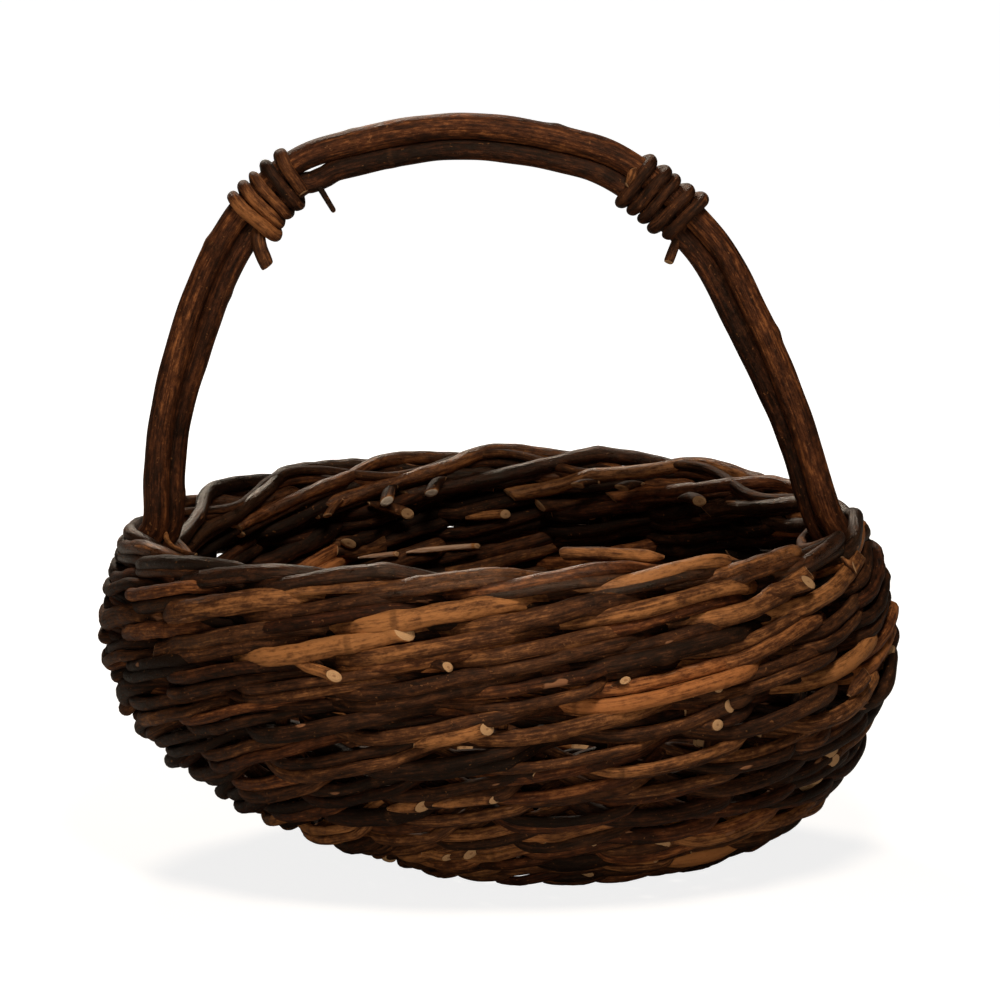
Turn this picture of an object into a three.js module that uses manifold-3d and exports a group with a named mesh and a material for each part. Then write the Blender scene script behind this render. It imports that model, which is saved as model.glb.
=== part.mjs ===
import * as THREE from "three";
import { mergeVertices } from "three/addons/utils/BufferGeometryUtils.js";
import Module from "manifold-3d";

// A twig basket with a bow handle. Millimetres, +Z up, +X to the right, -Y to the front.
// The rods are unpeeled twigs. The wall is three-rod wale: each course passes in front of two
// stakes and behind one. The stakes are turned down at the top to make the border.

// Wall: half sizes of the middle of the weave at the base edge, at the belly and at the rim
const baseHalfWidth = 72;
const baseHalfDepth = 66;
const bellyHalfWidth = 183.5;
const bellyHalfDepth = 170;
const rimHalfWidth = 170;
const rimHalfDepth = 157;
// Share of the wall's length at which it is widest
const bellyShare = 0.74;
// How late the wall turns up: the larger, the longer it runs flat from the base
const turnUp = 3.3;
// The base sits off the middle of the body, towards +X
const baseShift = 27;
// The rim sits off it the other way
const rimShift = 3;
// The rim's right end stands this much above its middle, and its left end as much below
const rimTilt = 3;
// The rim stands this much lower at the handle's ends than at the front and the back
const rimDip = 9;

// Rod radii
const wallRod = 4.15;
const stakeRod = 3.4;
const baseRod = 3.0;
const baseWeaverRod = 2.3;
const outerHandleRod = 6.3;
const innerHandleRod = 5.3;
const bindingVine = 2.8;

// Clearance between rods that rest against each other
const gap = 0.4;

// Weave: one rod of a course closes on itself after three turns, so the number of stakes is
// two more than a multiple of three
const postCount = 20;
const courseCount = 12;
// The lowest courses are woven with thinner rods, from the base up
const lowRodShare = [0.7, 0.8, 0.9];
// Bow of a rod past its stakes: in front of them, behind them, and between them
const frontBow = 1.35;
const backBow = 1.12;
const betweenBow = -0.35;

// Handle: crown above the rim, and how far the feet are pushed down into the wall
const handleRise = 199.5;
const outerFootDepth = 92;
const innerFootDepth = 38;
const footTaper = 34;
// The outer rod stands this much outside the middle of the wall
const handleOut = 1.5;
// A foot follows the wall up to this far below the middle of the border
const footStraight = 24;
// The bow's shape from left to right: share of the rim's half width, share of the rise
const bowShape = [
  [-0.974, 0.337],
  [-0.87, 0.632],
  [-0.757, 0.796],
  [-0.599, 0.915],
  [-0.447, 0.96],
  [-0.118, 1],
  [0.211, 0.957],
  [0.37, 0.904],
  [0.627, 0.707],
  [0.751, 0.505],
  [0.841, 0.303],
];

// Bindings: turns of vine, and where they start along the bow as a share of its length
const bindingTurns = 4;
const leftBindingStart = 0.339;
const rightBindingStart = 0.611;
const stubLength = 17;
const tailLength = 15;

// Base: two crossed groups of sticks, and the chased weaving round their ends
const sticksPerGroup = 5;
const crossReach = 22;
const weavingDepth = 26;
// The base weaving stops this far short of the base edge
const weavingMargin = 8;
const stakeButt = 12;
// Shares of the wall's length between which a stake bends at every course, and elsewhere at
// every second one
const curvedPart = [0.42, 0.83];
// A spoke runs from half the weaving's depth to this far short of the base edge
const spokeEnd = 3;
// The foot course is worn flat underneath
const wornDepth = 0.8;

const fullTurn = 2 * Math.PI;
const postAngle = fullTurn / postCount;

const wasm = await Module();
wasm.setup();

// Courses: rod radius, height and middle of each, measured up the wall from the base edge
const courses = [];
let wallTop = 0;
for (let k = 0; k < courseCount; k += 1) {
  const rod = wallRod * (lowRodShare[k] ?? 1);
  const height = 4 * rod + 3.5 * gap;
  courses.push({ rod, height, middle: wallTop + height / 2 });
  wallTop += height;
}
const borderHeight = 4 * stakeRod + 3.5 * gap;
const borderMiddle = wallTop + borderHeight / 2 + gap;

// Half size of the wall at a distance up it, between its base, belly and rim values
function halfSize(arc, base, belly, rim) {
  const share = arc / borderMiddle;
  if (share > bellyShare) {
    const past = (share - bellyShare) / (1 - bellyShare);
    return belly - (belly - rim) * past * past;
  }
  const part = share / bellyShare;
  const bend = part > 0 ? part ** (turnUp + 1) / (turnUp + 1) : 0;
  return base + (belly - base) * (1 + 1 / turnUp) * (part - bend);
}

// Heights up a profile, found step by step so that its own length equals the distance up it
function climb(base, belly, rim) {
  const steps = 240;
  const step = (1.15 * borderMiddle) / steps;
  const heights = [0];
  for (let i = 0; i < steps; i += 1) {
    const run = halfSize((i + 1) * step, base, belly, rim) - halfSize(i * step, base, belly, rim);
    const rise = Math.sqrt(Math.max(0.04, 1 - (run / step) ** 2)) * step;
    heights.push(heights[i] + rise);
  }
  return (arc) => {
    const at = Math.min(Math.max(arc / step, 0), steps - 1e-6);
    const i = Math.floor(at);
    return heights[i] + (heights[i + 1] - heights[i]) * (at - i);
  };
}

const endClimb = climb(baseHalfWidth, bellyHalfWidth, rimHalfWidth);
const sideClimb = climb(baseHalfDepth, bellyHalfDepth, rimHalfDepth);
// The profiles of the ends and of the sides are fitted to one rim, which dips at the ends
const rimHeight = (endClimb(borderMiddle) + sideClimb(borderMiddle)) / 2;
const endFit = (rimHeight - rimDip / 2) / endClimb(borderMiddle);
const sideFit = (rimHeight + rimDip / 2) / sideClimb(borderMiddle);

// Point of the middle of the wall, at an angle round it and a distance up it
function wallMiddle(angle, arc) {
  const share = arc / borderMiddle;
  const settle = Math.min(Math.max(share / 0.65, 0), 1);
  const lean = Math.min(Math.max((share - 0.65) / 0.35, 0), 1);
  const shift = baseShift * (1 - settle * settle * (3 - 2 * settle))
    - rimShift * lean * lean * (3 - 2 * lean);
  const across = halfSize(arc, baseHalfWidth, bellyHalfWidth, rimHalfWidth);
  const deep = halfSize(arc, baseHalfDepth, bellyHalfDepth, rimHalfDepth);
  const c = Math.cos(angle);
  const s = Math.sin(angle);
  const tilt = rimTilt * c * Math.max(share, 0) ** 2;
  const up = endFit * endClimb(arc) * c * c + sideFit * sideClimb(arc) * s * s + tilt;
  return new THREE.Vector3(shift + across * c, deep * s, up);
}

// The wall's outward direction at a place, how far apart two angles are there, and the
// width that a millimetre of the distance up it has across the courses
function wallFrame(angle, arc) {
  const round = wallMiddle(angle + 0.01, arc).sub(wallMiddle(angle - 0.01, arc));
  const up = wallMiddle(angle, arc + 1).sub(wallMiddle(angle, arc - 1));
  const out = round.clone().cross(up);
  const width = out.length() / round.length() / 2;
  return { out: out.normalize(), perAngle: round.length() / 0.02, width };
}

function wallPoint(angle, arc, out) {
  return wallMiddle(angle, arc).addScaledVector(wallFrame(angle, arc).out, out);
}

// A rod through the given rows, each with a point, a radius and an outward direction
function rodGeometry(rows, sides, closed) {
  const corners = [];
  const faces = [];
  const count = rows.length;
  rows.forEach((row, i) => {
    const before = rows[closed ? (i + count - 1) % count : Math.max(i - 1, 0)].point;
    const after = rows[closed ? (i + 1) % count : Math.min(i + 1, count - 1)].point;
    const back = row.point.clone().sub(before).normalize();
    const ahead = after.clone().sub(row.point).normalize();
    const along = back.add(ahead).normalize();
    const side = along.clone().cross(row.out).normalize();
    const up = side.clone().cross(along);
    for (let k = 0; k < sides; k += 1) {
      const turn = (fullTurn * (k + 0.5)) / sides;
      const corner = row.point
        .clone()
        .addScaledVector(side, row.radius * Math.cos(turn))
        .addScaledVector(up, row.radius * Math.sin(turn));
      corners.push(corner.x, corner.y, corner.z);
    }
  });
  const at = (i, k) => (i % count) * sides + (k % sides);
  const spans = closed ? count : count - 1;
  for (let i = 0; i < spans; i += 1) {
    for (let k = 0; k < sides; k += 1) {
      faces.push(at(i, k), at(i + 1, k + 1), at(i, k + 1));
      faces.push(at(i, k), at(i + 1, k), at(i + 1, k + 1));
    }
  }
  if (!closed) {
    for (let k = 1; k < sides - 1; k += 1) {
      faces.push(at(0, 0), at(0, k), at(0, k + 1));
      faces.push(at(count - 1, 0), at(count - 1, k + 1), at(count - 1, k));
    }
  }
  const geometry = new THREE.BufferGeometry();
  geometry.setAttribute("position", new THREE.Float32BufferAttribute(corners, 3));
  geometry.setIndex(faces);
  geometry.computeVertexNormals();
  return geometry;
}

// Posts: a stake, or at each end of the body a stake with the foot of the handle beside it
const endPosts = [0, postCount / 2];
const postSpread = outerHandleRod + stakeRod + gap;
// At an end post the handle foot stands back from the post's middle and the stake forward,
// so that together they reach equally far to both sides
const footSide = -(postSpread - (outerHandleRod - stakeRod)) / 2;
const stakeSide = footSide + postSpread;
const outerTip = borderMiddle - outerFootDepth;
const innerTip = borderMiddle - innerFootDepth;
const innerOut = handleOut - outerHandleRod - innerHandleRod - 1.5 * gap;

// Radius of a handle foot, sharpened towards its tip
function footRadius(arc, tip, full) {
  const share = Math.min(Math.max((arc - tip) / footTaper, 0), 1);
  return full * (0.35 + 0.65 * share);
}

// Sideways place of a stake in its post: it makes room where the handle foot stands beside it
function stakeOffset(post, arc) {
  if (!endPosts.includes(post % postCount)) return 0;
  const share = Math.min(Math.max((arc - outerTip + 14) / 20, 0), 1);
  return stakeSide * share * share * (3 - 2 * share);
}

// Rows of a rod of the weave at one key place. The rod crosses an end post on two rows, far
// enough out to clear the handle's feet.
function weaveRows(rows, position, middle, rise, bow, rod) {
  const post = Math.round(position);
  const atPost = Math.abs(position - post) < 1e-6;
  const arc = middle + rise;
  const foot = atPost && endPosts.includes(((post % postCount) + postCount) % postCount)
    && middle > outerTip - 6;
  const reach = stakeRod + rod + gap;
  if (!foot) {
    const angle = position * postAngle;
    const frame = wallFrame(angle, arc);
    const radius = rod * Math.min(frame.width, 1.04);
    rows.push({ point: wallPoint(angle, arc, bow * reach), radius, out: frame.out });
    return;
  }
  const outerRadius = footRadius(arc, outerTip, outerHandleRod);
  const innerThere = arc > innerTip - 4;
  const innerFace = innerThere
    ? innerOut - footRadius(arc, innerTip, innerHandleRod)
    : handleOut - outerRadius;
  const outside = Math.max(bow * reach, handleOut + outerRadius + 2 * gap + rod);
  const inside = Math.min(bow * reach, innerFace - gap - rod);
  const angle = post * postAngle;
  for (const side of [-1, 1]) {
    const near = wallFrame(angle, arc);
    const turned = angle + (side * 0.8 * postSpread) / near.perAngle;
    const frame = wallFrame(turned, arc);
    const radius = rod * Math.min(frame.width, 1.04);
    rows.push({
      point: wallPoint(turned, arc, bow > 0 ? outside : inside),
      radius,
      out: frame.out,
    });
  }
}

// One course of wale: out between two stakes, in front of two, in again and behind one
function courseGeometry(course) {
  const quarter = course.height / 4;
  // Near the base the stakes stand close, and the thinner rods bow in less between them
  const between = betweenBow * (course.rod / wallRod) ** 2;
  const stroke = [
    [-0.5, -1.05, between],
    [0, -1.04, frontBow],
    [1, 1.04, frontBow],
    [1.5, 1.05, between],
    [2, 0, -backBow],
  ];
  const rows = [];
  for (let group = 0; group < postCount; group += 1) {
    for (const [position, rise, bow] of stroke) {
      const place = 3 * group + position;
      weaveRows(rows, place, course.middle, rise * quarter, bow, course.rod);
    }
  }
  return rodGeometry(rows, 5, true);
}

// A stake: its butt beside a spoke of the base, up the wall, then down along the border in
// front of two stakes and behind the next
function stakeGeometry(post) {
  const rows = [];
  const angle = post * postAngle;
  const place = (arc, shift) => {
    const frame = wallFrame(angle, arc);
    const turned = angle + shift / frame.perAngle;
    const radius = stakeRod * Math.min(frame.width, 1);
    rows.push({ point: wallMiddle(turned, arc), radius, out: frame.out });
  };
  const quarter = borderHeight / 4;
  const elbow = borderMiddle - 1.05 * quarter;
  place(-stakeButt, 0);
  place(-6, 0);
  const bends = courses.filter(({ middle }, k) => {
    const share = middle / wallTop;
    return k % 2 === 0 || (share > curvedPart[0] && share < curvedPart[1]);
  });
  for (const { middle } of bends) {
    place(middle, stakeOffset(post, middle));
  }
  const bend = stakeRod + gap;
  place(elbow - bend, stakeOffset(post, elbow));
  place(elbow - 0.3 * bend, stakeOffset(post, elbow) + 0.3 * bend);
  place(elbow, stakeOffset(post, elbow) + bend);
  const turned = [
    [0.5, -1.05, betweenBow],
    [1, -1.04, frontBow],
    [2, 1.04, frontBow],
    [2.5, 1.05, betweenBow],
    [3, 0, -backBow],
  ];
  for (const [ahead, rise, bow] of turned) {
    weaveRows(rows, post + ahead, borderMiddle, rise * quarter, bow, stakeRod);
  }
  return rodGeometry(rows, 5, false);
}

// Base: a spoke stands beside its stake, on the side that the weave comes from
const spokeSide = -(baseRod + stakeRod + gap);

function basePlace(post, arc, shift, up) {
  const angle = post * postAngle;
  const frame = wallFrame(angle, arc);
  return wallPoint(angle + shift / frame.perAngle, arc, -up);
}

// A base stick: straight through the cross, with both ends fanned out to spokes. The lower
// group runs from left to right and the upper group from front to back.
function stickGeometry(number, upper) {
  const spacing = 2 * baseRod + 3 * gap;
  const offset = number * spacing;
  const level = (upper ? 1 : -1) * (baseRod + gap / 2);
  const quarterPosts = postCount / 4;
  const farPost = upper ? quarterPosts - number : number;
  const nearPost = upper ? 3 * quarterPosts + number : 2 * quarterPosts - number;
  const centre = (away) =>
    upper
      ? new THREE.Vector3(baseShift + offset, away, level)
      : new THREE.Vector3(baseShift + away, offset, level);
  const points = [
    basePlace(nearPost, -spokeEnd, spokeSide, 0),
    basePlace(nearPost, -weavingDepth / 2, spokeSide, 0),
    basePlace(nearPost, -weavingDepth - 2, spokeSide, 0),
    centre(-crossReach),
    centre(crossReach),
    basePlace(farPost, -weavingDepth - 2, spokeSide, 0),
    basePlace(farPost, -weavingDepth / 2, spokeSide, 0),
    basePlace(farPost, -spokeEnd, spokeSide, 0),
  ];
  const out = new THREE.Vector3(0, 0, -1);
  const rows = points.map((point) => ({ point, radius: baseRod, out }));
  return rodGeometry(rows, 5, false);
}

// A base weaver: over one spoke and under the next, in a spiral that leaves room for the other
function baseWeaverGeometry(number) {
  const pitch = 2 * baseWeaverRod + 2.2 * gap;
  const first = -weavingDepth + number * pitch;
  const rounds = (weavingDepth - weavingMargin - pitch) / (2 * pitch);
  const posts = Math.floor(rounds * postCount);
  const rows = [];
  for (let i = 0; i <= posts; i += 1) {
    const arc = first + (2 * pitch * i) / postCount;
    const side = (i + number) % 2 === 0 ? 1 : -1;
    const height = side * (baseRod + baseWeaverRod + 1.8 * gap);
    const beside = arc + baseWeaverRod + 3 * gap > -stakeButt ? 0 : spokeSide;
    const flat = 3.2;
    for (const shift of [spokeSide - flat, beside + flat]) {
      const frame = wallFrame(i * postAngle, arc);
      rows.push({ point: basePlace(i, arc, shift, height), radius: baseWeaverRod, out: frame.out });
    }
  }
  return rodGeometry(rows, 5, false);
}

// Handle route: from the left foot's tip up the wall, round the bow and down to the right tip
function footPoint(post, arc, out) {
  const angle = post * postAngle;
  const frame = wallFrame(angle, arc);
  return wallPoint(angle + footSide / frame.perAngle, arc, out);
}

const rimArc = borderMiddle + borderHeight / 2;
const leftRim = footPoint(endPosts[1], rimArc, handleOut);
const rightRim = footPoint(endPosts[0], rimArc, handleOut);
const bowPoints = [];
const footBend = borderMiddle - footStraight;
const footArcs = [outerTip, outerTip + footTaper, footBend, borderMiddle, rimArc];
for (const arc of footArcs) bowPoints.push(footPoint(endPosts[1], arc, handleOut));
for (const [across, up] of bowShape) {
  const along = (across + 1) / 2;
  const foot = leftRim.z + (rightRim.z - leftRim.z) * along;
  const y = leftRim.y + (rightRim.y - leftRim.y) * along;
  bowPoints.push(new THREE.Vector3(across * rimHalfWidth, y, foot + up * handleRise));
}
for (const arc of footArcs.toReversed()) {
  bowPoints.push(footPoint(endPosts[0], arc, handleOut));
}
const bow = new THREE.CatmullRomCurve3(bowPoints, false, "centripetal");
bow.arcLengthDivisions = 800;
const bowLength = bow.getLength();

// Frame of the bow at a share of its length: outward from the arch, and towards the front
function bowFrame(share) {
  const point = bow.getPointAt(share);
  const along = bow.getTangentAt(share);
  const front = new THREE.Vector3(0, -1, 0);
  const out = along.clone().cross(front).normalize().negate();
  return { point, along, out, front };
}

const innerDrop = outerHandleRod + innerHandleRod + 1.5 * gap;

function handleGeometry(inner) {
  const rows = [];
  const steps = 30;
  const skip = inner ? (outerFootDepth - innerFootDepth) / bowLength : 0;
  const full = inner ? innerHandleRod : outerHandleRod;
  // Both rods bend at the same places, so that they stay side by side
  const bends = [...Array(steps).keys()].map((i) => i / steps);
  const inside = bends.filter((share) => share > skip + 0.01 && share < 0.99 - skip);
  for (const share of [skip, ...inside, 1 - skip]) {
    const { point, out, front } = bowFrame(share);
    const fromTip = Math.min(share - skip, 1 - skip - share) * bowLength;
    const radius = full * (0.35 + 0.65 * Math.min(fromTip / footTaper, 1));
    if (inner) point.addScaledVector(out, -innerDrop);
    rows.push({ point, radius, out: front });
  }
  return rodGeometry(rows, 7, false);
}

// Binding: the vine follows the outline of the two rods side by side, a turn at a time
function bindingPoint(share, turn, vine) {
  const { point, out, front } = bowFrame(share);
  const clear = 1.8 * gap + vine;
  const outerReach = (outerHandleRod + clear) * 1.075;
  const innerReach = (innerHandleRod + clear) * 1.075;
  const c = Math.cos(turn);
  const s = Math.sin(turn);
  const outer = outerReach >= innerReach - innerDrop * c;
  const reach = outer ? outerReach : innerReach;
  point.addScaledVector(out, (outer ? 0 : -innerDrop) + reach * c);
  return point.addScaledVector(front, reach * s);
}

function bindingGeometry(name, start, firstTurn, lastTurn, vineAt, leadIn, leadOut) {
  const steps = 10;
  const pitch = 2 * bindingVine + 5.5 * gap;
  const count = Math.round((lastTurn - firstTurn) * steps);
  const rows = [];
  for (let i = 0; i <= count; i += 1) {
    const turns = firstTurn + i / steps;
    const share = start + (pitch * (turns - firstTurn)) / bowLength;
    const vine = vineAt(i / count);
    const point = bindingPoint(share, turns * fullTurn, vine);
    const { point: middle, out } = bowFrame(share);
    const spoke = point.clone().sub(middle.addScaledVector(out, -innerDrop / 2)).normalize();
    rows.push({ point, radius: vine, out: spoke });
  }
  const coil = rows.slice();
  if (leadIn > 0) {
    const { out } = bowFrame(start);
    const first = rows[0];
    for (const away of [0.45, 1]) {
      const point = first.point.clone().addScaledVector(out, -leadIn * away);
      point.x += 2.5 * away;
      rows.unshift({ point, radius: first.radius * (1 - 0.12 * away), out: first.out });
    }
  }
  if (leadOut > 0) {
    const last = rows[rows.length - 1];
    const before = rows[rows.length - 2];
    const way = last.point.clone().sub(before.point).normalize();
    const end = vineAt(1.15);
    const point = last.point.clone().addScaledVector(way, leadOut);
    rows.push({ point, radius: end, out: last.out });
  }
  let least = Infinity;
  for (let i = 0; i < coil.length; i += 1) {
    for (let j = i + Math.round(steps / 2); j < coil.length; j += 1) {
      const apart = coil[i].point.distanceTo(coil[j].point);
      least = Math.min(least, apart - coil[i].radius - coil[j].radius);
    }
  }
  console.log(name + ": least gap of the coil to itself " + least.toFixed(2) + " mm");
  return rodGeometry(rows, 6, false);
}

// The foot course, cut flat where it rests on the ground
function wornGeometry(geometry, level) {
  const solidOf = (shape) => {
    const bare = new THREE.BufferGeometry();
    bare.setAttribute("position", shape.getAttribute("position"));
    bare.setIndex(shape.index);
    const merged = mergeVertices(bare, 1e-3);
    const vertProperties = merged.attributes.position.array;
    const triVerts = new Uint32Array(merged.index.array);
    return new wasm.Manifold(new wasm.Mesh({ numProp: 3, vertProperties, triVerts }));
  };
  const slab = new THREE.BoxGeometry(3 * bellyHalfWidth, 3 * bellyHalfWidth, 2 * wallRod);
  slab.translate(0, 0, level - wallRod);
  const left = solidOf(geometry).subtract(solidOf(slab)).getMesh();
  const worn = new THREE.BufferGeometry();
  worn.setAttribute("position", new THREE.BufferAttribute(left.vertProperties, 3));
  worn.setIndex(new THREE.BufferAttribute(left.triVerts, 1));
  worn.computeVertexNormals();
  return worn;
}

const basket = new THREE.Group();

function addPiece(name, geometry, colour, roughness) {
  const material = new THREE.MeshStandardMaterial({ color: colour, roughness, metalness: 0 });
  const mesh = new THREE.Mesh(geometry, material);
  mesh.name = name;
  basket.add(mesh);
}

const twoDigits = (number) => String(number).padStart(2, "0");

const foot = courseGeometry(courses[0]);
foot.computeBoundingBox();
const ground = foot.boundingBox.min.z + wornDepth;
addPiece("wall_course_01", wornGeometry(foot, ground), 0x3b2416, 0.85);
for (let k = 1; k < courseCount; k += 1) {
  const colour = [0x3a2215, 0x55331b, 0x2e1c13, 0x6b431f][k % 4];
  addPiece("wall_course_" + twoDigits(k + 1), courseGeometry(courses[k]), colour, 0.85);
}
for (let post = 0; post < postCount; post += 1) {
  addPiece("side_stake_" + twoDigits(post + 1), stakeGeometry(post), 0x4a2e1b, 0.8);
}
const half = (sticksPerGroup - 1) / 2;
for (let number = -half; number <= half; number += 1) {
  const lower = twoDigits(number + half + 1);
  const upper = twoDigits(number + half + 1 + sticksPerGroup);
  addPiece("base_stick_" + lower, stickGeometry(number, false), 0x36231a, 0.9);
  addPiece("base_stick_" + upper, stickGeometry(number, true), 0x36231a, 0.9);
}
addPiece("base_weaver_1", baseWeaverGeometry(0), 0x3a2519, 0.9);
addPiece("base_weaver_2", baseWeaverGeometry(1), 0x3a2519, 0.9);
addPiece("handle_outer_rod", handleGeometry(false), 0x4d2c19, 0.7);
addPiece("handle_inner_rod", handleGeometry(true), 0x38221a, 0.75);

const leftVine = (share) => bindingVine * (share > 1 ? 0.4 : 1);
const rightVine = (share) => bindingVine * (0.8 + 0.2 * Math.min(share, 1));
const leftCoil = bindingGeometry(
  "left_binding",
  leftBindingStart,
  -0.25,
  bindingTurns + 0.3,
  leftVine,
  stubLength,
  tailLength,
);
const rightCoil = bindingGeometry(
  "right_binding",
  rightBindingStart,
  -0.25,
  bindingTurns + 0.3,
  rightVine,
  0,
  stubLength,
);
addPiece("left_binding", leftCoil, 0x7a4a25, 0.7);
addPiece("right_binding", rightCoil, 0x3f281b, 0.75);

basket.position.z = -ground;

export default basket;
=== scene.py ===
import math

import bmesh
import bpy
import numpy as np
from bpy.props import FloatProperty, FloatVectorProperty, IntProperty, PointerProperty
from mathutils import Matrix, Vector


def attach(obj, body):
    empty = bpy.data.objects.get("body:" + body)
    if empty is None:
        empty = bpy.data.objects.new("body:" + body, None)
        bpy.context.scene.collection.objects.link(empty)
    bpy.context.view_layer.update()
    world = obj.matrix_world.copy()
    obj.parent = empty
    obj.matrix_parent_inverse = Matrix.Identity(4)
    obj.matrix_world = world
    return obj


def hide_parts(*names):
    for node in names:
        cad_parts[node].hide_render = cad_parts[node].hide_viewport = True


# The basket's own frame: metres, +Z up, +X to the right, -Y to the front
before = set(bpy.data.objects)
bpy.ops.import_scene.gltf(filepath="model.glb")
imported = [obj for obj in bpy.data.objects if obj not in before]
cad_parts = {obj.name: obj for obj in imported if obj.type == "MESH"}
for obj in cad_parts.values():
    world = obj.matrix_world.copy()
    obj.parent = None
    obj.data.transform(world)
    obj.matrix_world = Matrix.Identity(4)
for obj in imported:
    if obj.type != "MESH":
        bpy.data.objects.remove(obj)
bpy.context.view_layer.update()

bl_info = {
    "name": "Twig Basket",
    "version": (1, 0, 0),
    "blender": (4, 5, 0),
    "location": "View3D > Sidebar > Basket",
    "description": "Weaves a twig basket with a bow handle round its packed frame",
    "category": "Add Mesh",
}

FULL_TURN = 2 * math.pi
MM = 0.001


# Settings


def length(name, description, default):
    return FloatProperty(
        name=name, description=description, default=default, min=0, precision=4,
        unit="LENGTH", subtype="DISTANCE",
    )


def factor(name, description, default):
    return FloatProperty(name=name, description=description, default=default, precision=3)


def colour(name, description, default):
    return FloatVectorProperty(
        name=name, description=description, default=default, size=3, min=0, max=1,
        subtype="COLOR",
    )


class BasketBody(bpy.types.PropertyGroup):
    """Half sizes and curve of the woven body, at the middle of its weave"""

    base_width: length("Base half width", "Half width at the base edge", 0.072)
    base_depth: length("Base half depth", "Half depth at the base edge", 0.066)
    belly_width: length("Belly half width", "Half width where the body is widest", 0.1835)
    belly_depth: length("Belly half depth", "Half depth where the body is widest", 0.170)
    rim_width: length("Rim half width", "Half width at the border", 0.170)
    rim_depth: length("Rim half depth", "Half depth at the border", 0.157)
    belly_share: factor("Belly place", "Share of the wall's length at the widest place", 0.74)
    turn_up: factor("Turn up", "The larger, the longer the wall runs flat from the base", 3.3)
    base_shift: length("Base shift", "How far the base sits to the right of the body", 0.027)
    hollow: length("Hollow", "How far the left end is pressed in under the belly", 0.0065)
    rim_shift: length("Rim shift", "How far the rim sits to the left of the body", 0.003)
    rim_tilt: length("Rim tilt", "Rise of the rim's right end above its middle", 0.003)
    rim_dip: length("Rim dip", "How much lower the rim stands at the handle's ends", 0.009)
    lift: length("Lift", "Height of the base edge above the ground", 0.00876)
    sag: length("Sag", "How far the border has settled onto the courses under it", 0.0042)


class BasketRods(bpy.types.PropertyGroup):
    """Radii of the twigs"""

    wall: length("Wall twig", "Radius of the wall's twigs", 0.00415)
    first_share: factor("First course", "Share of the radius in the lowest course", 0.7)
    second_share: factor("Second course", "Share of the radius in the next course", 0.8)
    third_share: factor("Third course", "Share of the radius in the third course", 0.9)
    fullness: factor("Fullness", "How much the bark fills the clearance between twigs", 1.2)
    stake: length("Stake", "Radius of the side stakes", 0.0034)
    base_stick: length("Base stick", "Radius of the base sticks", 0.003)
    base_weaver: length("Base weaver", "Radius of the base weavers", 0.0023)
    outer_handle: length("Outer handle rod", "Radius of the outer rod of the handle", 0.0063)
    inner_handle: length("Inner handle rod", "Radius of the inner rod of the handle", 0.0053)
    packing: length("Packing twig", "Radius of the slender twigs between courses", 0.0024)
    vine: length("Binding vine", "Radius of the vine of the bindings", 0.0028)
    gap: length("Clearance", "Clearance between twigs that rest on each other", 0.0004)


class BasketWeave(bpy.types.PropertyGroup):
    """How the wall, the border and the base are woven"""

    posts: IntProperty(name="Stakes", description="Side stakes round the body", default=20)
    courses: IntProperty(name="Courses", description="Courses of three-rod wale", default=12)
    front_bow: factor("Bow in front", "Bow of a twig in front of its stakes", 1.35)
    back_bow: factor("Bow behind", "Bow of a twig behind its stake", 1.12)
    between_bow: factor("Bow between", "Bow of a twig between two stakes", -0.35)
    swing: factor("Swing", "How freely a twig swings out past the places it touches", 0.3)
    unevenness: factor("Unevenness", "How far twigs stray from their places", 0.14)
    slender_share: factor("Slender pairs", "Share of strands that are two slender twigs", 0.85)
    butt: length("Stake butt", "Reach of a stake under the base", 0.012)
    depth: length("Base weaving", "Depth of the weaving on the base", 0.026)
    margin: length("Base margin", "Space from the base weaving to the base edge", 0.008)
    cross: length("Cross", "Reach of the crossed sticks' straight part", 0.022)
    sticks: IntProperty(name="Base sticks", description="Sticks in each group", default=5)
    seed: IntProperty(name="Seed", description="Start of the chance in twigs", default=11)


class BasketHandle(bpy.types.PropertyGroup):
    """The bow handle and its bindings"""

    rise: length("Rise", "Height of the crown above the rim", 0.1995)
    outer_foot: length("Outer foot", "Depth of the outer rod's feet in the wall", 0.092)
    inner_foot: length("Inner foot", "Depth of the inner rod's feet in the wall", 0.038)
    taper: length("Foot taper", "Length over which a foot is sharpened", 0.034)
    stand_out: length("Stand out", "How far the outer rod stands outside the wall", 0.0015)
    turns: IntProperty(name="Turns", description="Turns of vine in a binding", default=4)
    left_start: factor("Left binding", "Start of the left binding along the bow", 0.339)
    right_start: factor("Right binding", "Start of the right binding along the bow", 0.611)


class BasketColours(bpy.types.PropertyGroup):
    """Colours of bark and wood"""

    dark: colour("Dark bark", "Old bark in the weave", (0.0085, 0.0036, 0.0018))
    umber: colour("Umber bark", "Most of the bark", (0.033, 0.0122, 0.0055))
    brown: colour("Brown bark", "Paler brown bark", (0.102, 0.038, 0.0145))
    golden: colour("Golden bark", "The palest twigs", (0.44, 0.185, 0.062))
    grey: colour("Grey film", "Weathered film on old bark", (0.055, 0.036, 0.022))
    red: colour("Red bark", "Reddish tint of some bark", (0.60, 0.36, 0.28))
    cut: colour("Cut wood", "Cut ends", (0.60, 0.37, 0.19))
    peeled: colour("Peeled wood", "Places where the bark is chipped", (0.30, 0.135, 0.065))
    floor: colour("Floor", "Plain pale floor", (0.4, 0.4, 0.4))


class TwigBasket(bpy.types.PropertyGroup):
    """All settings of the basket"""

    body: PointerProperty(type=BasketBody)
    rods: PointerProperty(type=BasketRods)
    weave: PointerProperty(type=BasketWeave)
    handle: PointerProperty(type=BasketHandle)
    colours: PointerProperty(type=BasketColours)


# Shape of the wall


# Share of the wall's length over which the base's shift fades, and past which the rim's sets in
SHIFT_SPAN = 0.65
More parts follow.
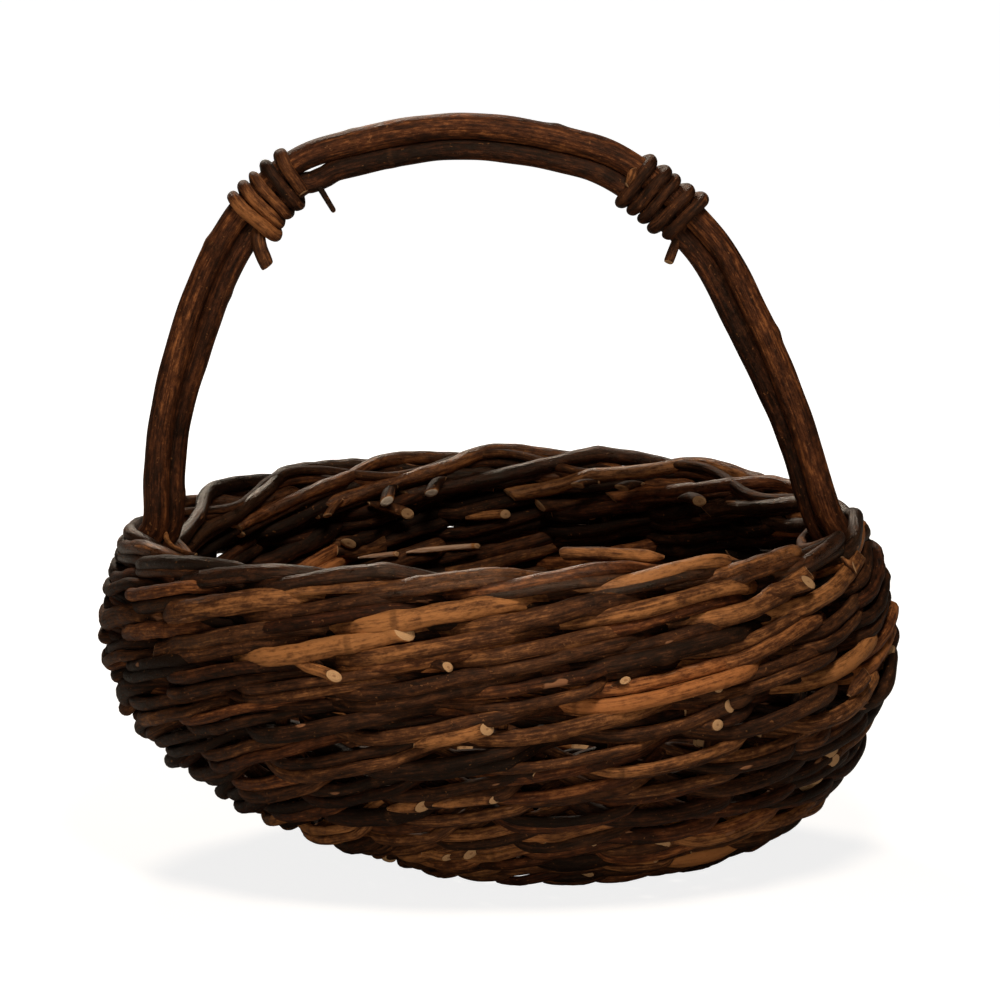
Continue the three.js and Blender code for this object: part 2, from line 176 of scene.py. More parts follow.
# Place and spread of the hollow at the left end, as shares of the wall's length
HOLLOW_PLACE, HOLLOW_SPREAD = 0.44, 0.17
# Length under the border over which the courses have settled
SETTLED_SPAN = 0.06
# How far past the border a profile is measured, as a share of the wall's length
PAST_BORDER = 1.15
PROFILE_STEPS = 240
# Steepest outward run of the wall: the least share of a step that still rises, squared
LEAST_RISE = 0.04
# Thickness of a sharpened tip, as a share of the full thickness
TIP_SHARE = 0.35


def smooth(share):
    """Eases a share from 0 to 1, level at both ends"""
    share = np.clip(share, 0, 1)
    return share * share * (3 - 2 * share)


def unit(vectors):
    return vectors / np.linalg.norm(vectors, axis=-1, keepdims=True)


def between(places, keys, rows):
    """Points or directions at places, from those at the keys"""
    return np.stack([np.interp(places, keys, rows[:, k]) for k in range(3)], -1)


def sharpened(from_tip, taper):
    """Share of the full thickness at a distance from a sharpened tip"""
    return TIP_SHARE + (1 - TIP_SHARE) * np.clip(from_tip / taper, 0, 1)


def band_height(rod, gap):
    """Height of a band of weave in which the twigs lie two high where they cross"""
    return 4 * rod + 3.5 * gap


class Wall:
    """The middle of the woven wall, and what stands in it"""

    def __init__(self, basket):
        self.body, self.rods = basket.body, basket.rods
        self.weave, self.handle = basket.weave, basket.handle
        rods, gap = self.rods, self.rods.gap
        thin = [rods.first_share, rods.second_share, rods.third_share]
        self.courses = []
        top = 0.0
        for number in range(self.weave.courses):
            rod = rods.wall * (thin[number] if number < len(thin) else 1)
            height = band_height(rod, gap)
            self.courses.append((rod, height, top + height / 2))
            top += height
        self.border_height = band_height(rods.stake, gap)
        self.border = top + self.border_height / 2 + gap
        body = self.body
        self.end_climb = self.climb(body.base_width, body.belly_width, body.rim_width)
        self.side_climb = self.climb(body.base_depth, body.belly_depth, body.rim_depth)
        end_rim = np.interp(self.border, *self.end_climb)
        side_rim = np.interp(self.border, *self.side_climb)
        self.end_fit = ((end_rim + side_rim) / 2 - body.rim_dip / 2) / end_rim
        self.side_fit = ((end_rim + side_rim) / 2 + body.rim_dip / 2) / side_rim
        self.post_angle = FULL_TURN / self.weave.posts
        self.end_posts = (0, self.weave.posts // 2)
        self.spread = rods.outer_handle + rods.stake + gap
        self.foot_side = -(self.spread - (rods.outer_handle - rods.stake)) / 2
        self.stake_side = self.foot_side + self.spread
        self.outer_tip = self.border - self.handle.outer_foot
        self.inner_tip = self.border - self.handle.inner_foot

    def half_size(self, arc, base, belly, rim):
        """Half width or half depth of the wall, at a distance up it from the base edge"""
        share = np.asarray(arc, float) / self.border
        widest, turn_up = self.body.belly_share, self.body.turn_up
        past = (share - widest) / (1 - widest)
        part = share / widest
        bend = np.where(part > 0, np.abs(part) ** (turn_up + 1) / (turn_up + 1), 0)
        low = base + (belly - base) * (1 + 1 / turn_up) * (part - bend)
        return np.where(share > widest, belly - (belly - rim) * past * past, low)

    def climb(self, base, belly, rim):
        """Heights up a profile whose own length is the distance up it"""
        arcs = np.linspace(0, PAST_BORDER * self.border, PROFILE_STEPS + 1)
        run = np.diff(self.half_size(arcs, base, belly, rim)) / arcs[1]
        rise = np.sqrt(np.maximum(LEAST_RISE, 1 - run * run)) * arcs[1]
        return arcs, np.concatenate([[0], np.cumsum(rise)])

    def middle(self, angle, arc):
        """Place on the middle of the wall, at an angle and a distance up the wall"""
        body = self.body
        angle, arc = np.broadcast_arrays(np.asarray(angle, float), np.asarray(arc, float))
        share = arc / self.border
        shift = body.base_shift * (1 - smooth(share / SHIFT_SPAN))
        shift = shift - body.rim_shift * smooth((share - SHIFT_SPAN) / (1 - SHIFT_SPAN))
        across = self.half_size(arc, body.base_width, body.belly_width, body.rim_width)
        deep = self.half_size(arc, body.base_depth, body.belly_depth, body.rim_depth)
        c, s = np.cos(angle), np.sin(angle)
        near = np.exp(-(((share - HOLLOW_PLACE) / HOLLOW_SPREAD) ** 2))
        shift = shift + body.hollow * near * np.clip(-c, 0, 1) ** 3
        end_up = self.end_fit * np.interp(arc, *self.end_climb)
        side_up = self.side_fit * np.interp(arc, *self.side_climb)
        up = end_up * c * c + side_up * s * s
        up = up + body.rim_tilt * c * np.maximum(share, 0) ** 2 + body.lift
        return np.stack([shift + across * c, deep * s, up], -1)

    def settled(self, arc):
        """Where a twig lies now that the border has sunk a little"""
        under = self.border - SETTLED_SPAN
        return arc - self.body.sag * float(smooth((arc - under) / SETTLED_SPAN))

    def out(self, angle, arc):
        """Outward direction of the wall, and how far apart two angles are there"""
        step, turn = 0.001, 0.01
        around = self.middle(angle + turn, arc) - self.middle(angle - turn, arc)
        up = self.middle(angle, arc + step) - self.middle(angle, arc - step)
        return unit(np.cross(around, up)), np.linalg.norm(around, axis=-1) / (2 * turn)

    def point(self, angle, arc, out):
        """Place at a distance out from the middle of the wall"""
        return self.middle(angle, arc) + self.out(angle, arc)[0] * np.asarray(out)[..., None]

    def foot_radius(self, arc, tip, full):
        """Radius of a handle rod in the wall, where its foot is sharpened"""
        return full * sharpened(arc - tip, self.handle.taper)


# Twigs


# Knots: length of twig for each, distance between two, least distance to an end, how far one
# stands out as a share of the radius, how much further a big one does, and the share of small ones
KNOT_STEP = 0.03
KNOT_SPACING = (0.026, 0.11)
KNOT_MARGIN = 0.006
KNOT_SIZES = (0.02, 0.14)
BIG_KNOT = 0.22
SMALL_KNOTS = 0.86
# Half length of a knot: the smallest, and how much it grows with the knot's size
KNOT_LENGTH, KNOT_GROWTH = 0.002, 0.012
# Ripples of the bark: how many, how long, and how high as a share of the radius
RIPPLES = 5
RIPPLE_LENGTHS = (0.012, 0.07)
RIPPLE_HEIGHT = 0.028
# A rounded end: distance from the end and share of the radius, and where the even steps begin
ROUNDED_END = [(0, 0), (0, 0.45), (0, 0.86), (0.0004, 0.97)]
END_ROOM = 0.0012
# Space before each rod while they lie straight, end to end
LEAD = 0.02
# Vertices this close to an end belong to its cut face
CUT_DEPTH = 0.00002
MERGE_DISTANCE = 0.00001
# How many radii back from its end a twig is cut slantwise, and how steeply by chance
CUT_REACH, CUT_SLANTS = 3, (0.25, 0.8)
# A cut that faces outwards or inwards is this much steeper, and turned a little aside, in radians
FACING_SLANT, FACING_TURN = 0.6, 0.4
# Share of a knot's height that is left a quarter turn round the twig from its top
KNOT_ROUND = 0.45
# How far each kind of twig bends aside at its knots
KINKS = {
    "wall": 0.45 * MM, "packing": 0.4 * MM, "stake": 0.4 * MM, "stick": 0.3 * MM,
    "weaver": 0.2 * MM, "handle": 0.2 * MM, "vine": 0.2 * MM,
}


class Twig:
    """One rod: the line that it follows, its thickness along that line, and its look"""

    def __init__(self, points, outs, radii, tone, warmth, grey, knots=True, sharp=(0, 0), kink=0,
                 flat=1, calm=1, facing=(0, 0)):
        self.points = np.asarray(points, float)
        self.outs = np.asarray(outs, float)
        self.radii = np.broadcast_to(np.asarray(radii, float), (len(self.points),))
        self.tone = np.broadcast_to(np.asarray(tone, float), (len(self.points),))
        self.warmth, self.grey = warmth, grey
        self.knots, self.sharp, self.kink = knots, sharp, kink
        self.flat, self.calm, self.facing = flat, calm, facing

    def settle(self, rng):
        """Gives the twig its knots and kinks, and measures it"""
        self.measure()
        count = int(self.reach / KNOT_STEP) + 1 if self.knots else 0
        places = np.cumsum(rng.uniform(*KNOT_SPACING, count)) - rng.uniform(0, KNOT_STEP)
        inside = (places > KNOT_MARGIN) & (places < self.reach - KNOT_MARGIN)
        self.knot_places = places[inside]
        self.knot_turns = rng.uniform(0, FULL_TURN, len(self.knot_places))
        self.knot_sizes = rng.uniform(*KNOT_SIZES, len(self.knot_places))
        self.knot_sizes += BIG_KNOT * (rng.uniform(size=len(self.knot_places)) > SMALL_KNOTS)
        if self.kink and len(self.knot_places) > 1:
            ends = np.concatenate([[0], self.knot_places, [self.reach]])
            side = unit(np.cross(np.gradient(self.points, axis=0), self.outs))
            away = np.interp(self.along, ends, rng.normal(0, self.kink, len(ends)))
            rise = np.interp(self.along, ends, rng.normal(0, self.kink, len(ends)))
            self.points = self.points + side * rise[:, None] + self.outs * away[:, None]
            self.measure()
        self.waves = [
            (rng.uniform(*RIPPLE_LENGTHS), rng.integers(0, 4), rng.uniform(0, FULL_TURN))
            for _ in range(RIPPLES)
        ]
        self.phase = rng.uniform(0, 20)
        self.spin = rng.uniform(0, FULL_TURN)
        self.slant = rng.uniform(*CUT_SLANTS, 2)

    def measure(self):
        steps = np.linalg.norm(np.diff(self.points, axis=0), axis=1)
        self.along = np.concatenate([[0], np.cumsum(steps)])
        self.reach = self.along[-1]

    def radius(self, along):
        full = np.interp(along, self.along, self.radii)
        for end, sharp in enumerate(self.sharp):
            if sharp:
                from_end = along if end == 0 else self.reach - along
                full = full * sharpened(from_end, sharp)
        return full

    def profile(self, pitch):
        """Places along the twig and the radius at each, with closed and eased ends"""
        count = max(int(self.reach / pitch), 4)
        inner = np.linspace(END_ROOM, self.reach - END_ROOM, count)
        first, last = self.radius(np.array([0.0, self.reach]))
        rows = [(along, share * first) for along, share in ROUNDED_END]
        rows += list(zip(inner, self.radius(inner)))
        rows += [(self.reach - along, share * last) for along, share in reversed(ROUNDED_END)]
        return rows

    def swell(self, along, turn):
        """How much thicker than its plain radius the twig is at a place on its bark"""
        ripple = np.zeros_like(along)
        for wave, lobes, start in self.waves:
            swing = np.cos(FULL_TURN * along / wave + lobes * turn + start)
            ripple += RIPPLE_HEIGHT * self.calm * swing
        knot = np.zeros_like(along)
        for place, side, size in zip(self.knot_places, self.knot_turns, self.knot_sizes):
            near = np.exp(-(((along - place) / (KNOT_LENGTH + KNOT_GROWTH * size)) ** 2))
            facing = KNOT_ROUND + (1 - KNOT_ROUND) * np.cos(turn - side)
            ripple += size * near * facing
            knot = np.maximum(knot, near * np.clip(1.5 * facing, 0, 1))
        return 1 + ripple, knot


def straight_rods(twigs, sides, pitch, slot):
    """A mesh of straight rods, set end to end along X, turned on a lathe from their profiles"""
    shape = bmesh.new()
    for number, twig in enumerate(twigs):
        last = None
        for along, radius in twig.profile(pitch):
            vertex = shape.verts.new((number * slot + LEAD + along, radius, 0))
            if last:
                shape.edges.new((last, vertex))
            last = vertex
    bmesh.ops.spin(
        shape, geom=shape.verts[:] + shape.edges[:], cent=(0, 0, 0), axis=(1, 0, 0),
        dvec=(0, 0, 0), angle=FULL_TURN, steps=sides, use_merge=True,
    )
    bmesh.ops.remove_doubles(shape, verts=shape.verts, dist=MERGE_DISTANCE)
    bmesh.ops.recalc_face_normals(shape, faces=shape.faces)
    for face in shape.faces:
        face.smooth = True
    mesh = bpy.data.meshes.new("rods")
    shape.to_mesh(mesh)
    shape.free()
    return mesh


def bend_rods(mesh, twigs, slot, ground):
    """Bends the straight rods along their lines and records what the bark needs to know"""
    count = len(mesh.vertices)
    flat = np.empty(count * 3, np.float32)
    mesh.vertices.foreach_get("co", flat)
    straight = flat.reshape(-1, 3).astype(float)
    numbers = np.floor(straight[:, 0] / slot).astype(int)
    bent = np.zeros((count, 3))
    space, look = np.zeros((count, 3)), np.zeros((count, 3))
    cut, knots = np.zeros(count), np.zeros(count)
    for number, twig in enumerate(twigs):
        mine = np.nonzero(numbers == number)[0]
        along = straight[mine, 0] - number * slot - LEAD
        radial = np.hypot(straight[mine, 1], straight[mine, 2])
        turn = np.arctan2(straight[mine, 2], straight[mine, 1])
        end = twig.reach
        at_end = (along < CUT_DEPTH) | (along > end - CUT_DEPTH)
        swell, knot = twig.swell(along, turn)
        thick = radial * swell
        space[mine] = np.stack([
            along + twig.phase, thick * np.cos(turn + twig.spin), thick * np.sin(turn + twig.spin)
        ], -1)
        cut[mine] = at_end
        knots[mine] = knot * (1 - at_end)
        tone = np.interp(along, twig.along, twig.tone)
        look[mine] = np.stack([tone, tone * 0 + twig.warmth, tone * 0 + twig.grey], -1)
        for side, slant in enumerate(twig.slant):
            full = twig.radius(np.array([0.0, end]))[side]
            from_end = along if side == 0 else end - along
            cut_way = slant * np.cos(turn - twig.spin)
            if twig.facing[side]:
                steep = (FACING_SLANT + slant) * twig.facing[side]
                cut_way = steep * np.sin(turn - FACING_TURN)
            push = thick * cut_way * np.clip(1 - from_end / (CUT_REACH * full), 0, 1)
            along = along + push * (1 if side == 0 else -1)
        held = np.clip(along, 0, end)
        tangents = unit(np.gradient(twig.points, twig.along, axis=0))
        place = between(held, twig.along, twig.points)
        way = unit(between(held, twig.along, tangents))
        side = unit(np.cross(way, between(held, twig.along, twig.outs)))
        up = np.cross(side, way)
        across = twig.flat * thick * np.cos(turn)
        outward = thick * np.sin(turn) / twig.flat
        bent[mine] = (
            place + side * across[:, None] + up * outward[:, None] + way * (along - held)[:, None]
        )
    if ground:
        bent[:, 2] = np.maximum(bent[:, 2], 0)
    mesh.vertices.foreach_set("co", bent.astype(np.float32).ravel())
    for name, kind, values in [
        ("rod_space", "FLOAT_VECTOR", space), ("rod_look", "FLOAT_VECTOR", look),
        ("cut_face", "FLOAT", cut), ("knot", "FLOAT", knots),
    ]:
        layer = mesh.attributes.new(name, kind, "POINT")
        key = "vector" if kind == "FLOAT_VECTOR" else "value"
        layer.data.foreach_set(key, values.astype(np.float32).ravel())
    mesh.update()


def make_rods(name, nodes, twigs, material, rng, sides=14, pitch=0.0022, ground=False):
    """One object of bent twigs that stands for CAD nodes"""
    for twig in twigs:
        twig.settle(rng)
    slot = max(twig.reach for twig in twigs) + 3 * LEAD
    mesh = straight_rods(twigs, sides, pitch, slot)
    bend_rods(mesh, twigs, slot, ground)
    mesh.name = name
    mesh.materials.append(material)
    piece = bpy.data.objects.new(name, mesh)
    bpy.context.scene.collection.objects.link(piece)
    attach(piece, "root")
    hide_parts(*nodes)
    return piece


def through(keys, values, places, swing):
    """Values between keys: level at turning points, with some of a free curve's swing"""
    step = np.diff(keys)
    rise = np.diff(values) / step
    before, after = step[:-1], step[1:]
    low, high = rise[:-1], rise[1:]
    free = (low * after + high * before) / (before + after)
    total = low + high
    level = np.where(low * high > 0, 2 * low * high / np.where(total == 0, 1, total), 0)
    inner = swing * free + (1 - swing) * level
    slope = np.concatenate([[rise[0]], inner, [rise[-1]]])
    i = np.clip(np.searchsorted(keys, places) - 1, 0, len(step) - 1)
    h = step[i]
    t = (places - keys[i]) / h
    return (
        (1 + 2 * t) * (1 - t) ** 2 * values[i] + t * (1 - t) ** 2 * h * slope[i]
        + t * t * (3 - 2 * t) * values[i + 1] - t * t * (1 - t) * h * slope[i + 1]
    )


def curve_through(points, per_span=14):
    """A centripetal curve through points, as a fine line"""
    points = np.asarray(points, float)
    padded = np.concatenate([[2 * points[0] - points[1]], points, [2 * points[-1] - points[-2]]])
    line = []
    for i in range(1, len(padded) - 2):
        p = padded[i - 1:i + 3]
        d = np.sqrt(np.maximum(np.linalg.norm(np.diff(p, axis=0), axis=1), 1e-9))
        m1 = (p[1] - p[0]) / d[0] - (p[2] - p[0]) / (d[0] + d[1]) + (p[2] - p[1]) / d[1]
        m2 = (p[2] - p[1]) / d[1] - (p[3] - p[1]) / (d[1] + d[2]) + (p[3] - p[2]) / d[2]
        m1, m2 = m1 * d[1], m2 * d[1]
        t = np.linspace(0, 1, per_span, endpoint=False)[:, None]
        a, b = 2 * p[1] - 2 * p[2] + m1 + m2, -3 * p[1] + 3 * p[2] - 2 * m1 - m2
        line.append(a * t ** 3 + b * t ** 2 + m1 * t + p[1])
    line.append(points[-1:])
    return np.concatenate(line)


# Weave


# How far below the tip of a handle's foot the weave begins to give way to it
FOOT_ROOM = {"outer": 0.006, "inner": 0.004}
# Share of the spread between foot and stake at which a twig has passed them
PASSING = 0.8
# A key this close to a post, in stakes, lies on it
ON_POST = 0.2
# Clearance between the two rods of the handle, in gaps
RODS_APART = 1.5
# The lowest courses have thinner twigs, fewer pairs and no packing
THIN_COURSES = 3
# Fineness of the lines along a course and along a packing twig, in stakes
COURSE_STEP, PACKING_STEP = 0.02, 0.03


def foot_keys(wall, place, arc, bow, rod, reach):
    """Where a twig crosses an end post, whose handle feet it must clear on both sides"""
    rods, handle = wall.rods, wall.handle
    angle = round(place) * wall.post_angle
    outer = wall.foot_radius(arc, wall.outer_tip, rods.outer_handle)
    inner_out = handle.stand_out - rods.outer_handle - rods.inner_handle - RODS_APART * rods.gap
    inner_face = handle.stand_out - outer
    if arc > wall.inner_tip - FOOT_ROOM["inner"]:
        inner_face = inner_out - wall.foot_radius(arc, wall.inner_tip, rods.inner_handle)
    outside = max(bow * reach, handle.stand_out + outer + 2 * rods.gap + rod)
    inside = min(bow * reach, inner_face - rods.gap - rod)
    turn = PASSING * wall.spread / float(wall.out(angle, arc)[1]) / wall.post_angle
    away = outside if bow > 0 else inside
    return [(round(place) + side * turn, arc, away) for side in (-1, 1)]


def weave_keys(wall, place, middle, rise, bow, rod):
    """Where a twig passes a place, in stakes, distance up the wall and distance out"""
    arc = wall.settled(middle + rise)
    reach = wall.rods.stake + rod + wall.rods.gap
    post = round(place)
    on_post = abs(place - post) < ON_POST and post % wall.weave.posts in wall.end_posts
    if on_post and middle > wall.outer_tip - FOOT_ROOM["outer"]:
        return foot_keys(wall, place, arc, bow, rod, reach)
    return [(place, arc, bow * reach)]


# Ends that show in front: by course, counted from 0, and by the post at which the stroke starts,
# how the twig ends there and how many stakes past that post
JOINS = {
    (6, 14): ("front", 1.3), (7, 17): ("front", 1.05), (8, 16): ("front", 0.95),
    (9, 13): ("front", 1.6), (9, 17): ("butt", 2.8), (11, 17): ("front", 1.12),
    (11, 18): ("front", 1.24), (9, 15): ("front", 1.1),
}
# How pale the twigs are in some strokes, by course and by the post at which the stroke starts
STROKE_TONES = {
    (11, 14): 0.83, (11, 15): 0.45, (11, 16): 0.76, (11, 17): 0.68, (11, 12): 0.6,
    (11, 11): 0.62, (10, 13): 0.86, (10, 14): 0.58, (10, 15): 0.52, (10, 17): 0.5,
    (10, 11): 0.55, (9, 17): 0.42, (9, 18): 0.86, (8, 14): 0.5, (8, 16): 0.4, (8, 17): 0.36,
    (7, 16): 0.62, (7, 17): 0.5, (6, 16): 0.5, (5, 14): 0.62, (2, 13): 0.6,
}
# Short ends and chips of twig. Each has its foot and its tip as stakes round, millimetres up the
# wall and millimetres out from its middle, then its radius in millimetres, the tone of its bark
# and the tone of its cut end.
STUBS = [
    # Outside, in the middle and at the right of the front, below the border
    ((13.3, 172, 12), (13.7, 167, 17), 3.0, 0.85, 0.6),
    ((15.9, 161, 12), (16.0, 164, 16), 2.0, 0.30, 0.6),
    ((16.6, 155, 12), (16.8, 158, 16), 2.0, 0.35, 0.6),
    ((16.6, 141, 12), (16.8, 144, 17), 3.0, 0.40, 0.7),
    ((17.4, 196, 13), (17.9, 198, 19), 4.0, 0.70, 0.6),
    ((18.8, 205, 12), (18.8, 199, 16), 2.5, 0.50, 0.6),
    ((18.4, 147, 14), (18.7, 154, 15), 3.5, 0.50, 0.5),
    # Outside, pale chips that lie along the weave lower down
    ((14.3, 137, 14), (14.9, 145, 15), 3.5, 0.80, 0.6),
    ((13.8, 98, 13), (14.2, 102, 14), 3.0, 0.85, 0.5),
    ((14.3, 103, 14), (14.9, 108, 15), 2.5, 0.80, 0.5),
    ((13.0, 43, 13), (14.2, 55, 14), 3.0, 0.60, 0.5),
    ((16.2, 39, 13), (16.6, 45, 14), 3.0, 1.00, 0.9),
    ((13.5, 53, 14), (13.9, 54, 16), 2.5, 0.85, 0.6),
    # Inside, cut ends that stick out of the back wall under the border
    ((6.0, 210, -12), (6.2, 211, -24), 3.3, 0.25, 1.0),
    ((5.5, 213, -12), (5.7, 214, -24), 3.3, 0.25, 1.0),
    ((3.9, 212, -13), (4.1, 214, -19), 2.5, 0.30, 0.9),
    ((3.4, 214, -13), (3.6, 215, -19), 2.8, 0.25, 0.7),
    ((3.0, 208, -13), (2.6, 214, -19), 3.0, 0.40, 0.6),
    ((6.3, 201, -13), (5.9, 194, -18), 3.0, 0.40, 0.5),
    ((6.6, 207, -13), (6.8, 200, -17), 2.0, 0.60, 0.7),
    ((5.3, 186, -13), (4.9, 189, -15), 2.5, 0.70, 0.7),
    # Inside, thin pale slips of bare wood on the back wall: painted highlights
    ((6.4, 167, -14), (6.0, 167, -15), 1.3, 1.40, 0.9),
    ((5.9, 167, -14), (5.2, 169, -15), 1.5, 1.30, 0.9),
    # In the border, a loose end in front and a slip at the left end
    ((16.7, 222, -4), (15.7, 228, -6), 3.4, 0.65, 0.5),
    ((10.0, 221, -3), (11.6, 219, 0), 1.3, 0.75, 0.5),
]
# How pale the stakes are that show most in the border
STAKE_TONES = {
    1: 0.66, 3: 0.6, 5: 0.16, 6: 0.12, 7: 0.45, 8: 0.14, 13: 0.42, 14: 0.5, 15: 0.82, 16: 0.66,
}


# How far the old twig and the new one lie side by side at a join, in stakes
OVERLAP = 0.3
# Share of the joins behind a stake, with a long end in front, and with a butt in front
JOIN_SHARES = [0.78, 0.11, 0.11]
# Where an old twig ends and a new one starts, in stakes from the start of the stroke. A long end
# in front is anywhere in its span.
JOIN_ENDS = {"inside": (2.42, 2.1), "butt": (2.96, 2.66)}
FRONT_ENDS, FRONT_START = (1.16, 1.34), 1.0
# Least number of strokes from one join by chance to the next, and the number that it stays under
STROKES_APART = (2, 5)
# Dark, umber, brown and golden bark: share of the twigs, and their range of tone
BARK_SHARES = [0.3, 0.45, 0.18, 0.07]
BARK_TONES = [(0.06, 0.18), (0.2, 0.36), (0.4, 0.56), (0.66, 0.88)]
# From this tone on, a stroke is one stout twig
STOUT_TONE = 0.8
# Radii of stout and of slender twigs as shares of the course's, and the spread from twig to twig
STOUT_SHARES, SLENDER_SHARES, STRAND_SPREAD = (0.8, 0.98), (0.7, 0.88), (0.9, 1.08)
# How flat a stout twig and a slender one are: broader and thinner than round, by this factor
STOUT_FLAT, SLENDER_FLAT = 1.12, 1.06
# Share of the usual pairs in the lowest courses
LOW_PAIRS = 0.3
# The twigs of the lowest courses are this much paler: partly their own pale bark, and partly
# painted light that makes up for the shade on the lower wall
LOW_COURSES, LOW_PALER_AND_PAINTED_LIGHT = 5, 0.18
# Distance of a twig from the wall's middle at a join, in reaches of the course: where the new
# one starts, where the old one ends, and where the hidden twig of a pair ends
START_OUTS = {"front": -0.3, "inside": -0.9}
END_OUTS = {"front": 1.7, "inside": -1.7, "butt": -0.3}
HIDDEN_OUT = -0.8
# Stakes over which a twig's start and end leave the course's line
START_SPAN, END_SPAN = 0.4, 0.45
# Where a stroke dives behind its third stake and where it comes out again, in stakes
DIVE = (1.66, 2.34)
# Most that a key strays, and strokes past the last stake, so that no twig outruns its keys
MOST_STRAY = 0.35
SPARE_STROKES = 10
# A pair of slender twigs: how far each lies from the pair's line, up and out, in radii, the most
# that they roll round each other, and the share of pairs in which each has a tone of its own
PAIR_RISE, PAIR_OUT = 0.98, 0.8
MOST_ROLL = 0.75
OWN_TONES = 0.6
# A slender twig starts and ends up to this many stakes beyond its pair
STAGGER = 0.16
# How far a twig leaves its line at its ends, in radii: down at the start and up at the end
START_DROP, END_LIFT = 0.9, 0.7
# A twig's change of thickness from its middle to an end, as shares, and the share of twigs that
# have their thick end first
TAPERS, THICK_FIRST = (0.08, 0.24), 0.75
# Half the length of a stroke that has its tone set, in stakes
STROKE_HALF = 1.15
# How much of a set tone the hidden twig of a pair takes
HIDDEN_TONE = 0.35


def stroke_of(post, posts):
    """Number of the stroke that starts at a post: strokes are three stakes apart, and seven
    times three is one more than the number of stakes"""
    return 7 * post % posts


def course_joins(number, posts, rng):
    """Strokes in which the course's twigs end: how, where the old twig ends and the new one
    starts, counted in stakes from the start of the stroke"""
    kept = {}
    for (course, post), (kind, at) in JOINS.items():
        if course == number:
            begin = at - OVERLAP if kind == "front" else at
            kept[stroke_of(post, posts)] = (kind, begin + OVERLAP, begin)
    stroke = int(rng.integers(0, 3))
    while stroke < posts:
        near = min((min(abs(stroke - k), posts - abs(stroke - k)) for k in kept), default=posts)
        if near > 1:
            front = ("front", rng.uniform(*FRONT_ENDS), FRONT_START)
            kinds = [("inside", *JOIN_ENDS["inside"]), front, ("butt", *JOIN_ENDS["butt"])]
            kept[stroke] = kinds[rng.choice(3, p=JOIN_SHARES)]
        stroke += int(rng.integers(*STROKES_APART))
    return sorted(kept.items())


def bark_tone(rng):
    """How pale a twig is: many dark ones, fewer brown ones and some golden ones"""
    return rng.uniform(*BARK_TONES[rng.choice(4, p=BARK_SHARES)])


def course_keys(wall, number, rng):
    """The line of a course: stakes round, distance up the wall, distance out from its middle.
    A stroke passes in front of two stakes, dives between the second and the third, and passes
    behind the third. Each of its keys has stakes from its start, rise in quarters of the
    course's height, and bow in reaches of the course."""
    weave = wall.weave
    rod, height, middle = wall.courses[number]
    quarter = height / 4
    stroke = [
        (0, -1.15, weave.front_bow), (1, 1.15, weave.front_bow),
        (1.42, 1.65, -0.1), (DIVE[0], 1.25, -0.9),
        (2, 0, -weave.back_bow), (DIVE[1], -1.25, -0.9), (2.58, -1.65, -0.1),
    ]
    stray = rng.normal(0, weave.unevenness, (weave.posts, len(stroke), 3))
    stray = stray.clip(-MOST_STRAY, MOST_STRAY)
    keys = []
    for group in range(-1, weave.posts + SPARE_STROKES):
        behind = 3 * group + 2
        for step, (ahead, rise, bow) in enumerate(stroke):
            if ahead in DIVE and behind % weave.posts in wall.end_posts:
                continue
            along, up, away = stray[group % weave.posts, step]
            place = 3 * group + ahead + 0.35 * along * (ahead < DIVE[0])
            bowed = bow + 0.8 * away * abs(bow)
            keys += weave_keys(wall, place, middle, (rise + 0.55 * up) * quarter, bowed, rod)
    keys = np.array(sorted(keys))
    return keys[np.concatenate([[True], np.diff(keys[:, 0]) > COURSE_STEP])]


def set_tones(number, begin, posts):
    """Middles, counted in stakes, of the strokes whose tone is set, and that tone"""
    lap = 3 * posts
    tones = []
    for (course, post), tone in STROKE_TONES.items():
        if course == number:
            centre = 3 * stroke_of(post, posts) + 0.5
            centre += lap * round((begin - centre + 3) / lap)
            tones += [(centre, tone), (centre + lap, tone)]
    return tones


